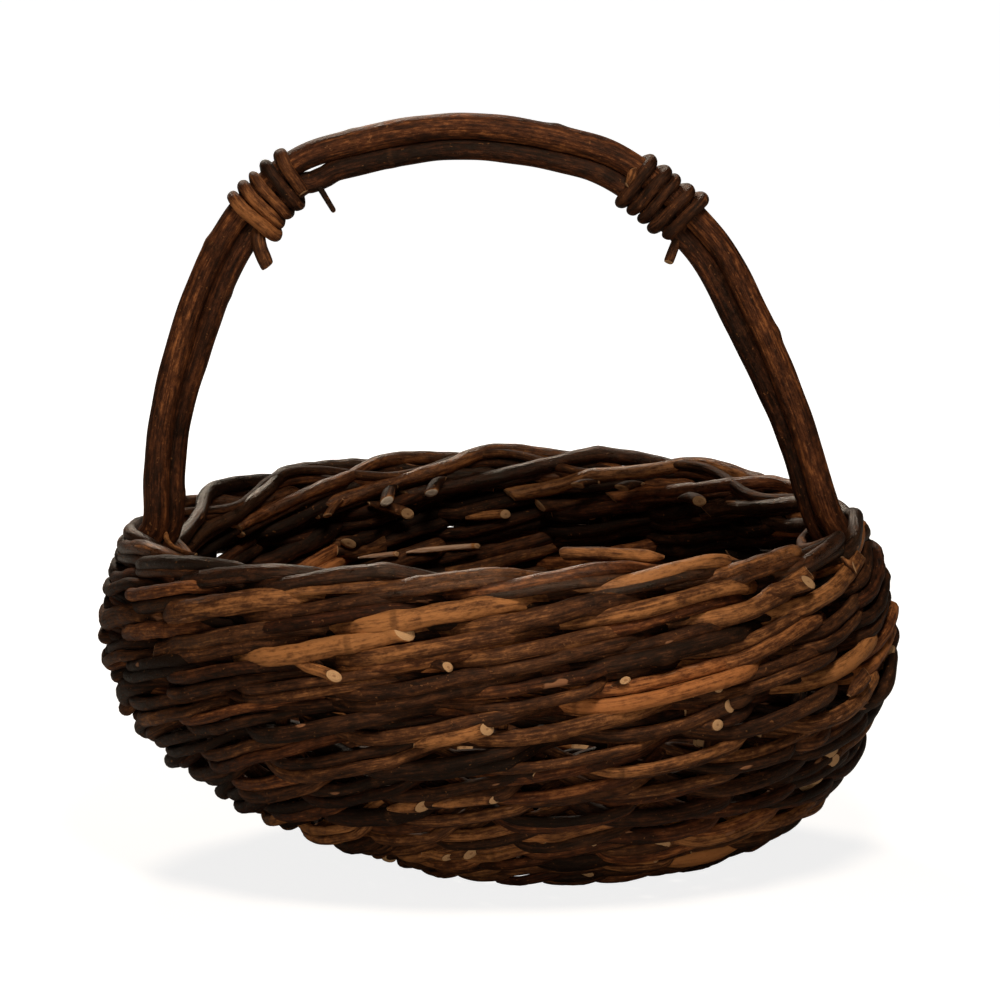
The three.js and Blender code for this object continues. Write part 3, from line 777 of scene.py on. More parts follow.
def strand_twig(wall, number, keys, reaches, kinds, lie, full, drift, tone, tones_set, rng):
    """One twig of a course from join to join. A slender one lies to one side of its pair's line,
    above or below as lie is 1 or -1, and rolls round it."""
    weave = wall.weave
    rod = wall.courses[number][0]
    reach = wall.rods.stake + rod + wall.rods.gap
    shown = lie >= 0
    first = reaches[0] - STAGGER * abs(lie) * rng.uniform()
    last = reaches[1] + STAGGER * abs(lie) * rng.uniform()
    places = np.arange(first, last, COURSE_STEP)
    arcs = through(keys[:, 0], keys[:, 1], places, weave.swing)
    outs = through(keys[:, 0], keys[:, 2], places, weave.swing)
    start = 1 - smooth((places - first) / START_SPAN)
    end = smooth((places - last + END_SPAN) / END_SPAN)
    start_out = START_OUTS.get(kinds[0], weave.front_bow) * reach
    end_out = (END_OUTS[kinds[1]] if shown else HIDDEN_OUT) * reach
    outs = outs + (start_out - outs) * start
    outs = outs + (end_out - outs) * end
    arcs = arcs + rod * (END_LIFT * end - START_DROP * start)
    roll = MOST_ROLL * np.sin(0.9 * places + drift)
    arcs = arcs + lie * PAIR_RISE * full * np.cos(roll)
    outs = outs + lie * PAIR_OUT * full * np.sin(roll)
    angles = places * wall.post_angle
    taper = rng.uniform(*TAPERS) * rng.choice([-1, 1], p=[1 - THICK_FIRST, THICK_FIRST])
    share = np.linspace(-1, 1, len(places))
    tones = tone + rng.normal(0, 0.05) + 0.06 * np.sin(places * 1.1 + rng.uniform(0, 6))
    for centre, pale in tones_set:
        near = np.exp(-(((places - centre) / STROKE_HALF) ** 6))
        tones = tones + (pale - tones) * near * (1 if shown else HIDDEN_TONE)
    facing = {"front": 1, "inside": -1}.get(kinds[1], 0) if shown else 0
    thick = full * rng.uniform(*STRAND_SPREAD) * (1 - taper * share)
    return Twig(
        wall.point(angles, arcs, outs), wall.out(angles, arcs)[0], thick, tones,
        rng.uniform(0, 1), rng.uniform(0, 1) ** 2, kink=KINKS["wall"],
        flat=SLENDER_FLAT if lie else STOUT_FLAT, facing=(1 if kinds[0] == "butt" else 0, facing),
    )


def course_twigs(wall, number, rng):
    """Twigs of one course of wale, which goes round three times, in front of two stakes and
    behind one. A strand is one stout twig or two slender ones side by side."""
    weave, rod = wall.weave, wall.courses[number][0]
    keys = course_keys(wall, number, rng)
    joins = course_joins(number, weave.posts, rng)
    slender = weave.slender_share * (1 if number >= THIN_COURSES else LOW_PAIRS)
    twigs = []
    for i, (group, (kind, _, start_at)) in enumerate(joins):
        after, (after_kind, end_at, _) = joins[(i + 1) % len(joins)]
        if after <= group:
            after += weave.posts
        begin, finish = 3 * group + start_at, 3 * after + end_at
        tones_set = set_tones(number, begin, weave.posts)
        lies = [0]
        full = rod * wall.rods.fullness * rng.uniform(*STOUT_SHARES)
        stout = any(begin < at < finish and tone > STOUT_TONE for at, tone in tones_set)
        if rng.uniform() < slender and not stout:
            lies = [-1, 1]
            full = rod * rng.uniform(*SLENDER_SHARES)
        drift = rng.uniform(0, FULL_TURN)
        # Painted light: the lowest courses are paler partly to make up for the shade they lie in
        paler = LOW_PALER_AND_PAINTED_LIGHT if number < LOW_COURSES else 0
        tone = bark_tone(rng) + paler
        for lie in lies:
            if lie > 0 and rng.uniform() < OWN_TONES:
                tone = bark_tone(rng) + paler
            twigs.append(strand_twig(
                wall, number, keys, (begin, finish), (kind, after_kind), lie, full, drift, tone,
                tones_set, rng,
            ))
    return twigs


# Where its tip sticks out by more than this many millimetres, a stub's cut faces straight ahead
STRAIGHT_CUT = 8
# Length over which the foot of a stub is sharpened
STUB_SHARPENED = 8 * MM


def stub_twig(wall, stub):
    """A short twig whose tip sticks out of the weave. Its cut faces outwards or inwards, or
    straight ahead where the tip sticks out far."""
    (place, arc, out), (tip_place, tip_arc, tip_out), radius, tone, cut = stub
    share = np.linspace(0, 1, 14)
    angles = (place + (tip_place - place) * share) * wall.post_angle
    arcs = (arc + (tip_arc - arc) * share) * MM
    outs = (out + (tip_out - out) * share ** 2) * MM
    facing = 1 if tip_out > 0 else -1
    if abs(tip_out - out) > STRAIGHT_CUT:
        facing = 0
    return Twig(
        wall.point(angles, arcs, outs), wall.out(angles, arcs)[0], radius * MM,
        np.where(share < 1, tone, cut), 0.4, 0.1, sharp=(STUB_SHARPENED, 0), facing=(0, facing),
    )


# How far a packing twig strays up and down from its line, its bows in reaches, and its thickness
# at its two ends as shares of its radius
PACKING_STRAY = 0.9 * MM
PACKING_BOWS, PACKING_TAPER = (1, 1.2), (1.15, 0.85)
# A stake's elbow under the middle of the border, in quarters of the border's height, and how much
# stouter its bark is than its clear radius
ELBOW, STAKE_FULLNESS = 1.05, 1.14
# Spread of thickness from stake to stake, a stake's thickness at its ends, and how flat it is
STAKE_SPREAD, STAKE_TAPER, STAKE_FLAT = (0.92, 1.08), (1.06, 0.92), 1.06
# How far a stake in the border strays from its place, in quarters of the border's height, and
# how much its bow varies
STAKE_STRAY, BOW_STRAY = 0.16, 0.05
# A spare stake: how much lower it lies, in the same quarters, how far beside the stake it stands,
# in radii, and its radius as a share of the stake's
SPARE_LOW, SPARE_BESIDE, SPARE_SHARE = 1.1, 1.8, 0.8
# Length over which an end stake moves aside for the handle's foot, and how far below its tip
ASIDE_SPAN, ASIDE_START = 20 * MM, 14 * MM


def packing_twig(wall, arc, rng):
    """A slender twig between two courses, in front of one stake and behind the next"""
    rod = wall.rods.packing
    start = int(rng.integers(0, wall.weave.posts))
    keys = []
    for post in range(start, start + wall.weave.posts + 3):
        side = 1 if (post - start) % 2 else -1
        stray = rng.normal(0, PACKING_STRAY)
        keys += weave_keys(wall, post, arc, stray, side * rng.uniform(*PACKING_BOWS), rod)
    keys = np.array(keys)
    places = np.arange(keys[0, 0], keys[-1, 0], PACKING_STEP)
    angles = places * wall.post_angle
    arcs = through(keys[:, 0], keys[:, 1], places, wall.weave.swing)
    outs = through(keys[:, 0], keys[:, 2], places, wall.weave.swing)
    thick = rod * np.linspace(*PACKING_TAPER, len(places))
    tone = rng.uniform(0.08, 0.5) + 0.1 * np.sin(places * 1.3)
    return Twig(
        wall.point(angles, arcs, outs), wall.out(angles, arcs)[0], thick, tone, rng.uniform(),
        rng.uniform() ** 2, kink=KINKS["packing"],
    )


def stake_twig(wall, post, rng, spare=False):
    """A side stake: beside a spoke of the base, up through the wall and down into the border.
    A spare one is slender, starts near the top and fills the border below the stake."""
    rods, weave = wall.rods, wall.weave
    angle = post * wall.post_angle
    points, outs = [], []

    def place(arc, shift):
        out, per_angle = wall.out(angle, arc)
        turned = angle + shift / per_angle
        points.append(wall.middle(turned, arc))
        outs.append(out)

    def room(arc):
        if post not in wall.end_posts:
            return 0
        return wall.stake_side * smooth((arc - wall.outer_tip + ASIDE_START) / ASIDE_SPAN)

    quarter = wall.border_height / 4
    low = SPARE_LOW if spare else 0
    beside = SPARE_BESIDE * rods.stake if spare else 0
    elbow = wall.settled(wall.border) - (ELBOW + low) * quarter
    if not spare:
        place(-weave.butt, 0)
        place(-weave.butt / 2, 0)
    for _, _, middle in wall.courses[-2 if spare else 0:]:
        place(wall.settled(middle), room(middle) + beside)
    bend = rods.stake + rods.gap
    place(elbow - bend, room(elbow) + beside)
    place(elbow - 0.3 * bend, room(elbow) + beside + 0.3 * bend)
    place(elbow, room(elbow) + beside + bend)
    # In the border: stakes ahead, rise in quarters of the border's height, and bow
    turned = [
        (0.5, -1.05, weave.between_bow), (1, -1, weave.front_bow), (2, 0.8, weave.front_bow),
        (2.5, 0.85, weave.between_bow), (3, 0, -weave.back_bow),
        (3.4, -1.3, -1.05 * weave.back_bow),
        (3.4 + rng.uniform(0.35, 0.55), -2.7, -1.2 * weave.back_bow),
    ]
    for ahead, rise, bow in turned:
        lifted = (rise - low + rng.normal(0, STAKE_STRAY)) * quarter
        bowed = bow * (1 + rng.normal(0, BOW_STRAY))
        for at, arc, away in weave_keys(wall, post + ahead, wall.border, lifted, bowed, rods.stake):
            here = at * wall.post_angle
            points.append(wall.point(here, arc, away))
            outs.append(wall.out(here, arc)[0])
    line = curve_through(points)
    out_line = unit(curve_through(outs))
    full = rods.stake * (SPARE_SHARE if spare else STAKE_FULLNESS)
    thick = full * rng.uniform(*STAKE_SPREAD) * np.linspace(*STAKE_TAPER, len(line))
    tone = bark_tone(rng)
    if not spare:
        tone = STAKE_TONES.get(post, tone)
    return Twig(
        line, out_line, thick, tone, rng.uniform(), rng.uniform() ** 2, kink=KINKS["stake"],
        flat=STAKE_FLAT, facing=(0, -1),
    )


# Distances from the base edge at which a spoke has points
SPOKE_ARCS = [-3 * MM, -20 * MM]
# Spread of thickness from stick to stick
STICK_SPREAD = (0.97, 1.06)
# How far to each side of a spoke a weaver has its points, and its fullness
PASSING_SIDE, WEAVER_FULLNESS = 3.2 * MM, 1.08
# Clearance from weaver to weaver, and from weaver to spoke, in gaps
WEAVERS_APART, SPOKE_APART = 2.2, 1.8


def base_place(wall, post, arc, shift, up):
    """A place on the base, at a stake and a distance from the edge, shifted round and up"""
    angle = post * wall.post_angle
    per_angle = wall.out(angle, arc)[1]
    return wall.point(angle + shift / per_angle, arc, -up)


def base_stick(wall, number, upper, rng):
    """A stick of the base: straight through the cross, its ends fanned out to spokes"""
    rods, weave = wall.rods, wall.weave
    spoke = -(rods.base_stick + rods.stake + rods.gap)
    offset = number * (2 * rods.base_stick + 3 * rods.gap)
    level = (1 if upper else -1) * (rods.base_stick + rods.gap / 2) + wall.body.lift
    quarter = weave.posts // 4
    far = quarter - number if upper else number
    near = 3 * quarter + number if upper else 2 * quarter - number
    middle_x = wall.body.base_shift

    def centre(away):
        return (middle_x + offset, away, level) if upper else (middle_x + away, offset, level)

    arcs = SPOKE_ARCS + [-weave.depth - 2 * MM]
    points = [base_place(wall, near, arc, spoke, 0) for arc in arcs]
    points += [centre(-weave.cross), centre(weave.cross)]
    points += [base_place(wall, far, arc, spoke, 0) for arc in arcs[::-1]]
    line = curve_through(points)
    outs = np.tile([0, 0, -1.0], (len(line), 1))
    thick = rods.base_stick * rng.uniform(*STICK_SPREAD)
    return Twig(
        line, outs, thick, rng.beta(2, 3), rng.uniform(), rng.uniform() ** 2, kink=KINKS["stick"])


def base_weaver(wall, number, rng):
    """A weaver of the base: over one spoke and under the next, in a spiral"""
    rods, weave = wall.rods, wall.weave
    gap = rods.gap
    spoke = -(rods.base_stick + rods.stake + gap)
    pitch = 2 * rods.base_weaver + WEAVERS_APART * gap
    first = -weave.depth + number * pitch
    posts = int((weave.depth - weave.margin - pitch) / (2 * pitch) * weave.posts)
    points = []
    for i in range(posts + 1):
        arc = first + 2 * pitch * i / weave.posts
        side = 1 if (i + number) % 2 == 0 else -1
        height = side * (rods.base_stick + rods.base_weaver + SPOKE_APART * gap)
        beside = 0 if arc + rods.base_weaver + 3 * gap > -weave.butt else spoke
        for shift in (spoke - PASSING_SIDE, beside + PASSING_SIDE):
            points.append(base_place(wall, i, arc, shift, height))
    line = curve_through(points, 8)
    outs = np.tile([0, 0, -1.0], (len(line), 1))
    thick = rods.base_weaver * WEAVER_FULLNESS
    return Twig(line, outs, thick, rng.beta(2, 3), 0.5, 0.4, kink=KINKS["weaver"])


# Handle


# The bow's shape from left to right: share of the rim's half width, share of the rise
BOW_SHAPE = [
    (-0.974, 0.337), (-0.87, 0.632), (-0.757, 0.796), (-0.599, 0.915), (-0.447, 0.96),
    (-0.118, 1), (0.211, 0.957), (0.37, 0.904), (0.627, 0.707), (0.751, 0.505), (0.841, 0.303),
]
# A foot follows the wall up to this far below the middle of the border
FOOT_STRAIGHT = 24 * MM
# The legs bow outwards: how far to the right, and the middle and spread as shares of the bow
LEG_BOWS = [(-3.2 * MM, 0.155, 0.045), (2.6 * MM, 0.8, 0.06)]
# Beside the left binding the inner rod hangs apart from the outer one: between which shares of
# the bow, and over what share it comes apart and closes again
APART, APART_EASE = (0.384, 0.412), (0.008, 0.012)
# Distance of the inner rod from the outer one, as a share of the room for it, and how much more
# and less that is where it hangs apart and in the legs
INNER_DROP, DROP_APART, DROP_LEGS = 0.93, 0.13, 0.23
# From this share of the bow down, the inner rod moves behind the outer one, over this share, to
# this far back
LEG_SHARE, LEG_EASE, LEG_BACK = 0.27, 0.1, 7.8 * MM
HANDLE_FULLNESS = 1.03
HANDLE_STEPS = 500
# Tone of the outer rod and of the inner one, and how much of the usual ripples they have. The
# inner rod is darker partly for its own bark and partly as painted shade under the handle.
OUTER_TONE, INNER_TONE_AND_SHADE, HANDLE_CALM = 0.44, 0.25, 0.35
# Tone of the vine along each binding, by turn
BINDING_TONES = {
    "left": {
        -1: 0.4, 0: 0.4, 0.2: 0.82, 0.5: 0.5, 1: 0.45, 1.25: 0.8, 1.6: 0.45, 2: 0.45, 2.25: 0.72,
        2.5: 0.4, 3: 0.3, 3.3: 0.36, 4: 0.25, 4.15: 0.62, 5: 0.4,
    },
    "right": {-1: 0.3, 1: 0.36, 2: 0.28, 3: 0.34, 4: 0.36, 5: 0.4},
}
# Ends of vine that come out of each binding: places in millimetres, radii as shares of the
# vine's, and tone
VINE_ENDS = {
    "left": [
        ([(-120.5, 0, 318), (-119.5, -4, 309), (-115.5, -5, 299)], (1.2, 1.55, 1.3), 0.42),
        ([(-93.5, 2, 345), (-90, -1, 339), (-82.5, -2, 326.5)], (0.55, 0.55, 0.5), 0.1),
    ],
    "right": [
        ([(93, 0, 328), (90.5, -4, 319.5), (83.8, -5, 301)], (0.9, 0.9, 0.88), 0.38),
        ([(66, -8, 348.5), (65.5, -10.2, 346), (62.8, -10.3, 340.5)], (0.6, 0.9, 0.5), 0.55),
    ],
}
# A binding's vine: points in a turn, fullness, and distance of its middle from the rods, in radii
TURN_STEPS, VINE_FULLNESS, VINE_OFF = 24, 1.1, 0.25
# Clearance from turn to turn in gaps, how far a turn swings to stand square in front, and how far
# it strays, in turns
TURNS_APART, TURN_SWING, TURN_STRAY = 4.2, 0.3, 0.07
# How far a loose turn hangs, and over how many turns
SLACK, SLACK_SPAN = 2.6 * MM, 0.3


class Bow:
    """The line of the handle's outer rod, from the left foot's tip to the right one"""

    def __init__(self, wall):
        handle, rods = wall.handle, wall.rods
        rim = wall.border + wall.border_height / 2
        arcs = [
            wall.outer_tip, wall.outer_tip + handle.taper, wall.border - FOOT_STRAIGHT,
            wall.border, rim,
        ]

        def foot(post, arc):
            angle = post * wall.post_angle
            turned = angle + wall.foot_side / wall.out(angle, arc)[1]
            return wall.point(turned, arc, handle.stand_out)

        left, right = foot(wall.end_posts[1], rim), foot(wall.end_posts[0], rim)
        points = [foot(wall.end_posts[1], arc) for arc in arcs]
        for across, up in BOW_SHAPE:
            start = left + (right - left) * (across + 1) / 2
            points.append((across * wall.body.rim_width, start[1], start[2] + up * handle.rise))
        points += [foot(wall.end_posts[0], arc) for arc in arcs[::-1]]
        self.line = curve_through(points, 40)
        steps = np.linalg.norm(np.diff(self.line, axis=0), axis=1)
        self.along = np.concatenate([[0], np.cumsum(steps)])
        self.reach = self.along[-1]
        self.tangents = unit(np.gradient(self.line, self.along, axis=0))
        self.front = np.array([0, -1.0, 0])
        self.drop = rods.outer_handle + rods.inner_handle + RODS_APART * rods.gap

    def at(self, share):
        """Place on the bow, its direction, and outward from the arch"""
        along = np.asarray(share) * self.reach
        point = between(along, self.along, self.line)
        way = unit(between(along, self.along, self.tangents))
        return point, way, -unit(np.cross(way, self.front))

    def aside(self, share):
        """How far the legs bow outwards, as a shift of the line"""
        right = sum(
            away * np.exp(-(((share - middle) / spread) ** 2)) for away, middle, spread in LEG_BOWS)
        return np.stack([right, 0 * share, 0 * share], -1)


def handle_twig(wall, bow, inner):
    """The outer or the inner rod of the handle, from foot to foot"""
    handle, rods = wall.handle, wall.rods
    skip = (handle.outer_foot - handle.inner_foot) / bow.reach if inner else 0
    full = rods.inner_handle if inner else rods.outer_handle
    share = np.linspace(skip, 1 - skip, HANDLE_STEPS)
    point, _, out = bow.at(share)
    if inner:
        apart = smooth((share - APART[0]) / APART_EASE[0])
        apart = apart * smooth((APART[1] - share) / APART_EASE[1])
        low = smooth((LEG_SHARE - np.minimum(share, 1 - share)) / LEG_EASE)
        drop = bow.drop * (INNER_DROP + DROP_APART * apart - DROP_LEGS * low)
        point = point - out * drop[:, None] - bow.front * (LEG_BACK * low)[:, None]
    point = point + bow.aside(share)
    outs = np.tile(bow.front, (len(point), 1))
    uneven = 0.025 * np.sin(share * 17 + (2 if inner else 0))
    radii = full * HANDLE_FULLNESS * (1 + uneven)
    # The inner rod's darker tone is partly painted shade on the handle's underside
    return Twig(
        point, outs, radii, INNER_TONE_AND_SHADE if inner else OUTER_TONE, 0.85, 0.15,
        sharp=(handle.taper, handle.taper), kink=KINKS["handle"], calm=HANDLE_CALM,
    )


def binding_point(wall, bow, share, turn, reach):
    """A place on the outline of the two rods side by side, at a distance from their bark"""
    rods = wall.rods
    point, _, out = bow.at(share)
    outer_reach = rods.outer_handle + reach
    inner_reach = rods.inner_handle + reach
    c, s = math.cos(turn), math.sin(turn)
    outer = outer_reach >= inner_reach - bow.drop * c
    reach = outer_reach if outer else inner_reach
    return point + out * ((0 if outer else -bow.drop) + reach * c) + bow.front * reach * s


def binding_twig(wall, bow, start, first, last, loose, tones, rng):
    """A vine wound round both rods. Its turns stand square to the rods in front and move on
    behind them. One turn, given by its number, is loose and bulges below."""
    rods = wall.rods
    pitch = 2 * rods.vine + TURNS_APART * rods.gap
    turns = np.linspace(first, last, round((last - first) * TURN_STEPS) + 1)
    stray = np.interp(turns, np.arange(-2, 9), rng.normal(0, TURN_STRAY, 11))
    forward = turns + TURN_SWING * np.cos(FULL_TURN * turns) + stray
    shares = start + pitch * (forward + 0.25) / bow.reach
    uneven = 0.08 * np.sin(turns * 2.3) + 0.06 * np.sin(turns * 5.1)
    vine = rods.vine * VINE_FULLNESS * (1 + uneven)
    slack = SLACK * np.exp(-(((turns - loose) / SLACK_SPAN) ** 2))
    points = [
        binding_point(wall, bow, share, turn * FULL_TURN, VINE_OFF * thick + away)
        for share, turn, thick, away in zip(shares, turns, vine, slack)
    ]
    middle, _, out = bow.at(shares)
    outs = np.array(points) - (middle - out * bow.drop / 2)
    line, out_line = curve_through(points, 6), unit(curve_through(outs, 6))
    places = np.linspace(0, len(turns) - 1, len(line))
    thick = np.interp(places, np.arange(len(turns)), vine)
    turns = np.interp(places, np.arange(len(turns)), turns)
    tone = np.interp(turns, list(tones), list(tones.values()))
    return Twig(line, out_line, thick, tone, 0.7, 0.1)


def vine_end(places, radii, tone):
    """A loose end of vine that comes out from between the rods, through the given places"""
    line = curve_through(places, 8)
    outs = np.tile([0, -1.0, 0], (len(line), 1))
    thick = np.interp(np.linspace(0, 1, len(line)), np.linspace(0, 1, len(radii)), radii)
    return Twig(line, outs, thick, tone, 0.6, 0.3, knots=False, kink=KINKS["vine"])


# Materials


WHITE = (1.0, 1.0, 1.0, 1.0)
# Tints of weathered cut wood, and of twigs and slips without their bark. Only the pale slips
# inside are bare, and they are painted highlights.
WEATHERED_CUT = (0.95, 0.86, 0.74, 1.0)
BARE_WOOD_HIGHLIGHT = (0.8, 0.62, 0.48, 1.0)
# Sheen of bark is a little warm
BARK_SHEEN = (1.0, 0.88, 0.75, 1.0)
# Grain of each pattern along and across a twig, per metre
MOTTLE_GRAIN, PATCH_GRAIN, STREAK_GRAIN = (170, 400, 400), (18, 90, 90), (38, 800, 800)
FIBRE_GRAIN, DOT_GLINT_GRAIN = (300, 1900, 1900), (420, 520, 520)
CHIP_GRAIN, CHIP_SPREAD = (45, 160, 160), (6, 12, 12)
# Growth rings in a cut face, in radians per metre of radius
RING_PITCH = 9000.0
BUMP_HEIGHT = 1 * MM
# Most of a noise pattern lies in this span
PATTERN_SPAN = (0.3, 0.7)
# How much the mottling, the patches and the streaks lighten the bark at most, and on average
MOTTLING, MOTTLING_MEAN = (0.34, 0.3, 0.34), 0.5
# Tone at which the bark has each of its colours
RAMP = {"dark": 0.05, "umber": 0.3, "brown": 0.56, "golden": 0.95}
# Share of red, grey film, pale dots and scars where each is strongest. The pale dots are partly
# marks of the bark and partly painted glints.
MOST_RED, MOST_FILM, MOST_DOT_GLINT, MOST_SCAR = 0.4, 0.3, 0.35, 0.5
# Spans of the patterns over which film, pale dots, scars and fibres set in
FILM_SPAN, DOT_GLINT_SPAN, SCAR_SPAN, FIBRE_SPAN = (0.5, 0.7), (0.67, 0.73), (0.55, 0.95), (0.4, 0.6)
# A chip begins, and is bare, where its pattern is this far past the peeling. Chips lie in groups
# by this much of a coarser pattern.
CHIP_SPAN, CHIP_GROUPS = (0.225, 0.26), 0.32
# Depth of the mottling, the fibres and the chips in the bump, as shares
MOTTLE_DEPTH, FIBRE_DEPTH, CHIP_DEPTH = 0.8, 0.2, -0.35
# Roughness of bark where its mottling is low and high, and of a cut face
ROUGHNESS, CUT_ROUGHNESS = (0.5, 0.75), 0.85
# Tones at which a twig begins to lose its bark and has none. Only the slips inside reach them,
# as pale wood painted where highlights show.
BARE_HIGHLIGHT_TONES = (1.1, 1.4)
# Radii within which the pith is darkest and at which it ends
PITH_RADII = (0.3 * MM, 0.9 * MM)
# The floor glows a little less under the basket than far off, so that the shadow shows: distances
# from the middle, and the glow at each
GLOW_SPAN, GLOWS = (0.3, 1.0), (0.84, 1.0)


class Nodes:
    """Short ways to place and link the nodes of one material or world"""

    def __init__(self, owner):
        owner.use_nodes = True
        self.owner, self.tree = owner, owner.node_tree
        self.tree.nodes.clear()

    def add(self, kind, inputs=None, **options):
        node = self.tree.nodes.new(kind)
        for key, value in options.items():
            setattr(node, key, value)
        for key, value in (inputs or {}).items():
            if isinstance(value, bpy.types.NodeSocket):
                self.tree.links.new(value, node.inputs[key])
            else:
                node.inputs[key].default_value = value
        return node

    def vertex_value(self, name):
        return self.add("ShaderNodeAttribute", attribute_name=name).outputs

    def maths(self, operation, first, second=None, third=None):
        values = {0: first, 1: second, 2: third}
        inputs = {key: value for key, value in values.items() if value is not None}
        return self.add("ShaderNodeMath", inputs, operation=operation).outputs[0]

    def mix(self, share, first, second, blend="MIX"):
        inputs = {0: share, 6: first, 7: second}
        return self.add("ShaderNodeMix", inputs, data_type="RGBA", blend_type=blend).outputs[2]

    def seen(self):
        """1 for rays by which the camera sees, straight or through something clear"""
        rays = self.add("ShaderNodeLightPath").outputs
        return self.maths("MAXIMUM", rays["Is Camera Ray"], rays["Is Transmission Ray"])

    def noise(self, space, scale, detail, roughness=0.6):
        mapped = self.add("ShaderNodeMapping", {"Vector": space, "Scale": scale})
        return self.add("ShaderNodeTexNoise", {
            "Vector": mapped.outputs[0], "Scale": 1.0, "Detail": detail, "Roughness": roughness,
        }).outputs["Fac"]

    def span(self, value, low, high, to_low=0.0, to_high=1.0):
        node = self.add("ShaderNodeMapRange", {
            "Value": value, "From Min": low, "From Max": high, "To Min": to_low, "To Max": to_high,
        }, interpolation_type="SMOOTHSTEP")
        return node.outputs["Result"]


def rgba(value):
    return (*value[:3], 1.0)


def bark(name, colours, mottling=1.0, gloss=0.0, furrows=0.5, peeling=0.66, shine=0.17):
    """Unpeeled bark: tone from twig to twig, mottling, streaks, scars at knots, chips, cut ends"""
    made = Nodes(bpy.data.materials.new(name))
    space = made.vertex_value("rod_space")["Vector"]
    look = made.vertex_value("rod_look")["Vector"]
    tone, warmth, grey = made.add("ShaderNodeSeparateXYZ", {0: look}).outputs
    cut = made.vertex_value("cut_face")["Fac"]
    knot = made.vertex_value("knot")["Fac"]

    mottle = made.noise(space, MOTTLE_GRAIN, 5, 0.74)
    patch = made.noise(space, PATCH_GRAIN, 3)
    streak = made.noise(space, STREAK_GRAIN, 4, 0.7)
    fibre = made.noise(space, FIBRE_GRAIN, 3, 0.7)

    shade = tone
    for pattern, strength in zip((mottle, patch, streak), MOTTLING):
        spread = made.span(pattern, *PATTERN_SPAN)
        shade = made.maths("MULTIPLY_ADD", spread, strength * mottling, shade)
    shade = made.maths("SUBTRACT", shade, MOTTLING_MEAN * mottling)
    ramp = made.add("ShaderNodeValToRGB", {0: shade})
    stops = ramp.color_ramp.elements
    stops[0].position, stops[1].position = RAMP["dark"], RAMP["golden"]
    stops[0].color, stops[1].color = rgba(colours.dark), rgba(colours.golden)
    stops.new(RAMP["umber"]).color = rgba(colours.umber)
    stops.new(RAMP["brown"]).color = rgba(colours.brown)
    base = ramp.outputs[0]

    redder = made.span(warmth, 0.5, 1.0, 0.0, MOST_RED)
    base = made.mix(redder, base, rgba(colours.red), "SOFT_LIGHT")
    film = made.maths(
        "MULTIPLY", made.span(patch, *FILM_SPAN), made.span(grey, 0.2, 1.0, 0.0, MOST_FILM))
    base = made.mix(film, base, rgba(colours.grey))
    # Pale golden dots: partly marks of the bark, partly painted glints
    dots_and_glints = made.span(made.noise(space, DOT_GLINT_GRAIN, 2, 0.6), *DOT_GLINT_SPAN, 0.0, MOST_DOT_GLINT)
    base = made.mix(dots_and_glints, base, rgba(colours.golden))
    scar = made.mix(made.span(fibre, *FIBRE_SPAN), rgba(colours.brown), rgba(colours.dark))
    scarred = made.maths("MULTIPLY", made.span(knot, *SCAR_SPAN), MOST_SCAR)
    base = made.mix(scarred, base, scar)
    chips = made.noise(space, CHIP_GRAIN, 2, 0.5)
    spread = made.noise(space, CHIP_SPREAD, 1)
    chips = made.maths("MULTIPLY_ADD", spread, CHIP_GROUPS, chips)
    chipped = made.span(chips, *(peeling + edge for edge in CHIP_SPAN))
    base = made.mix(chipped, base, rgba(colours.peeled))
    # Bare pale wood, found only on the slips inside, is a painted highlight
    bare = made.mix(made.span(streak, *PATTERN_SPAN), rgba(colours.peeled), BARE_WOOD_HIGHLIGHT)
    base = made.mix(made.span(tone, *BARE_HIGHLIGHT_TONES), base, bare)

    split = made.add("ShaderNodeSeparateXYZ", {0: space})
    across = made.add("ShaderNodeCombineXYZ", {1: split.outputs[1], 2: split.outputs[2]})
    distance = made.add("ShaderNodeVectorMath", {0: across.outputs[0]}, operation="LENGTH")
    rings = made.maths("SINE", made.maths("MULTIPLY", distance.outputs["Value"], RING_PITCH))
    rings = made.maths("MULTIPLY_ADD", rings, 0.12, 0.88)
    pith = made.span(distance.outputs["Value"], *PITH_RADII, 0.35, 1.0)
    wood = made.mix(made.maths("MULTIPLY", rings, pith), rgba(colours.peeled), rgba(colours.cut))
    wood = made.mix(made.span(tone, 0.9, 1.0, 0.0, 0.8), wood, WEATHERED_CUT)
    base = made.mix(made.span(cut, 0.35, 0.6), base, wood)

    height = made.maths("MULTIPLY", mottle, MOTTLE_DEPTH)
    for pattern, share in ((streak, furrows), (fibre, FIBRE_DEPTH), (chipped, CHIP_DEPTH)):
        height = made.maths("MULTIPLY_ADD", pattern, share, height)
    bump = made.add("ShaderNodeBump", {"Height": height, "Strength": 1.0, "Distance": BUMP_HEIGHT})
    rough = made.span(mottle, 0.25, 0.75, *(value - gloss for value in ROUGHNESS))
    rough = made.maths("MAXIMUM", rough, made.maths("MULTIPLY", cut, CUT_ROUGHNESS))
    surface = made.add("ShaderNodeBsdfPrincipled", {
        "Base Color": base, "Roughness": rough, "Normal": bump.outputs[0],
        "Specular IOR Level": shine, "Specular Tint": BARK_SHEEN,
    })
    made.add("ShaderNodeOutputMaterial", {0: surface.outputs[0]})
    return made.owner


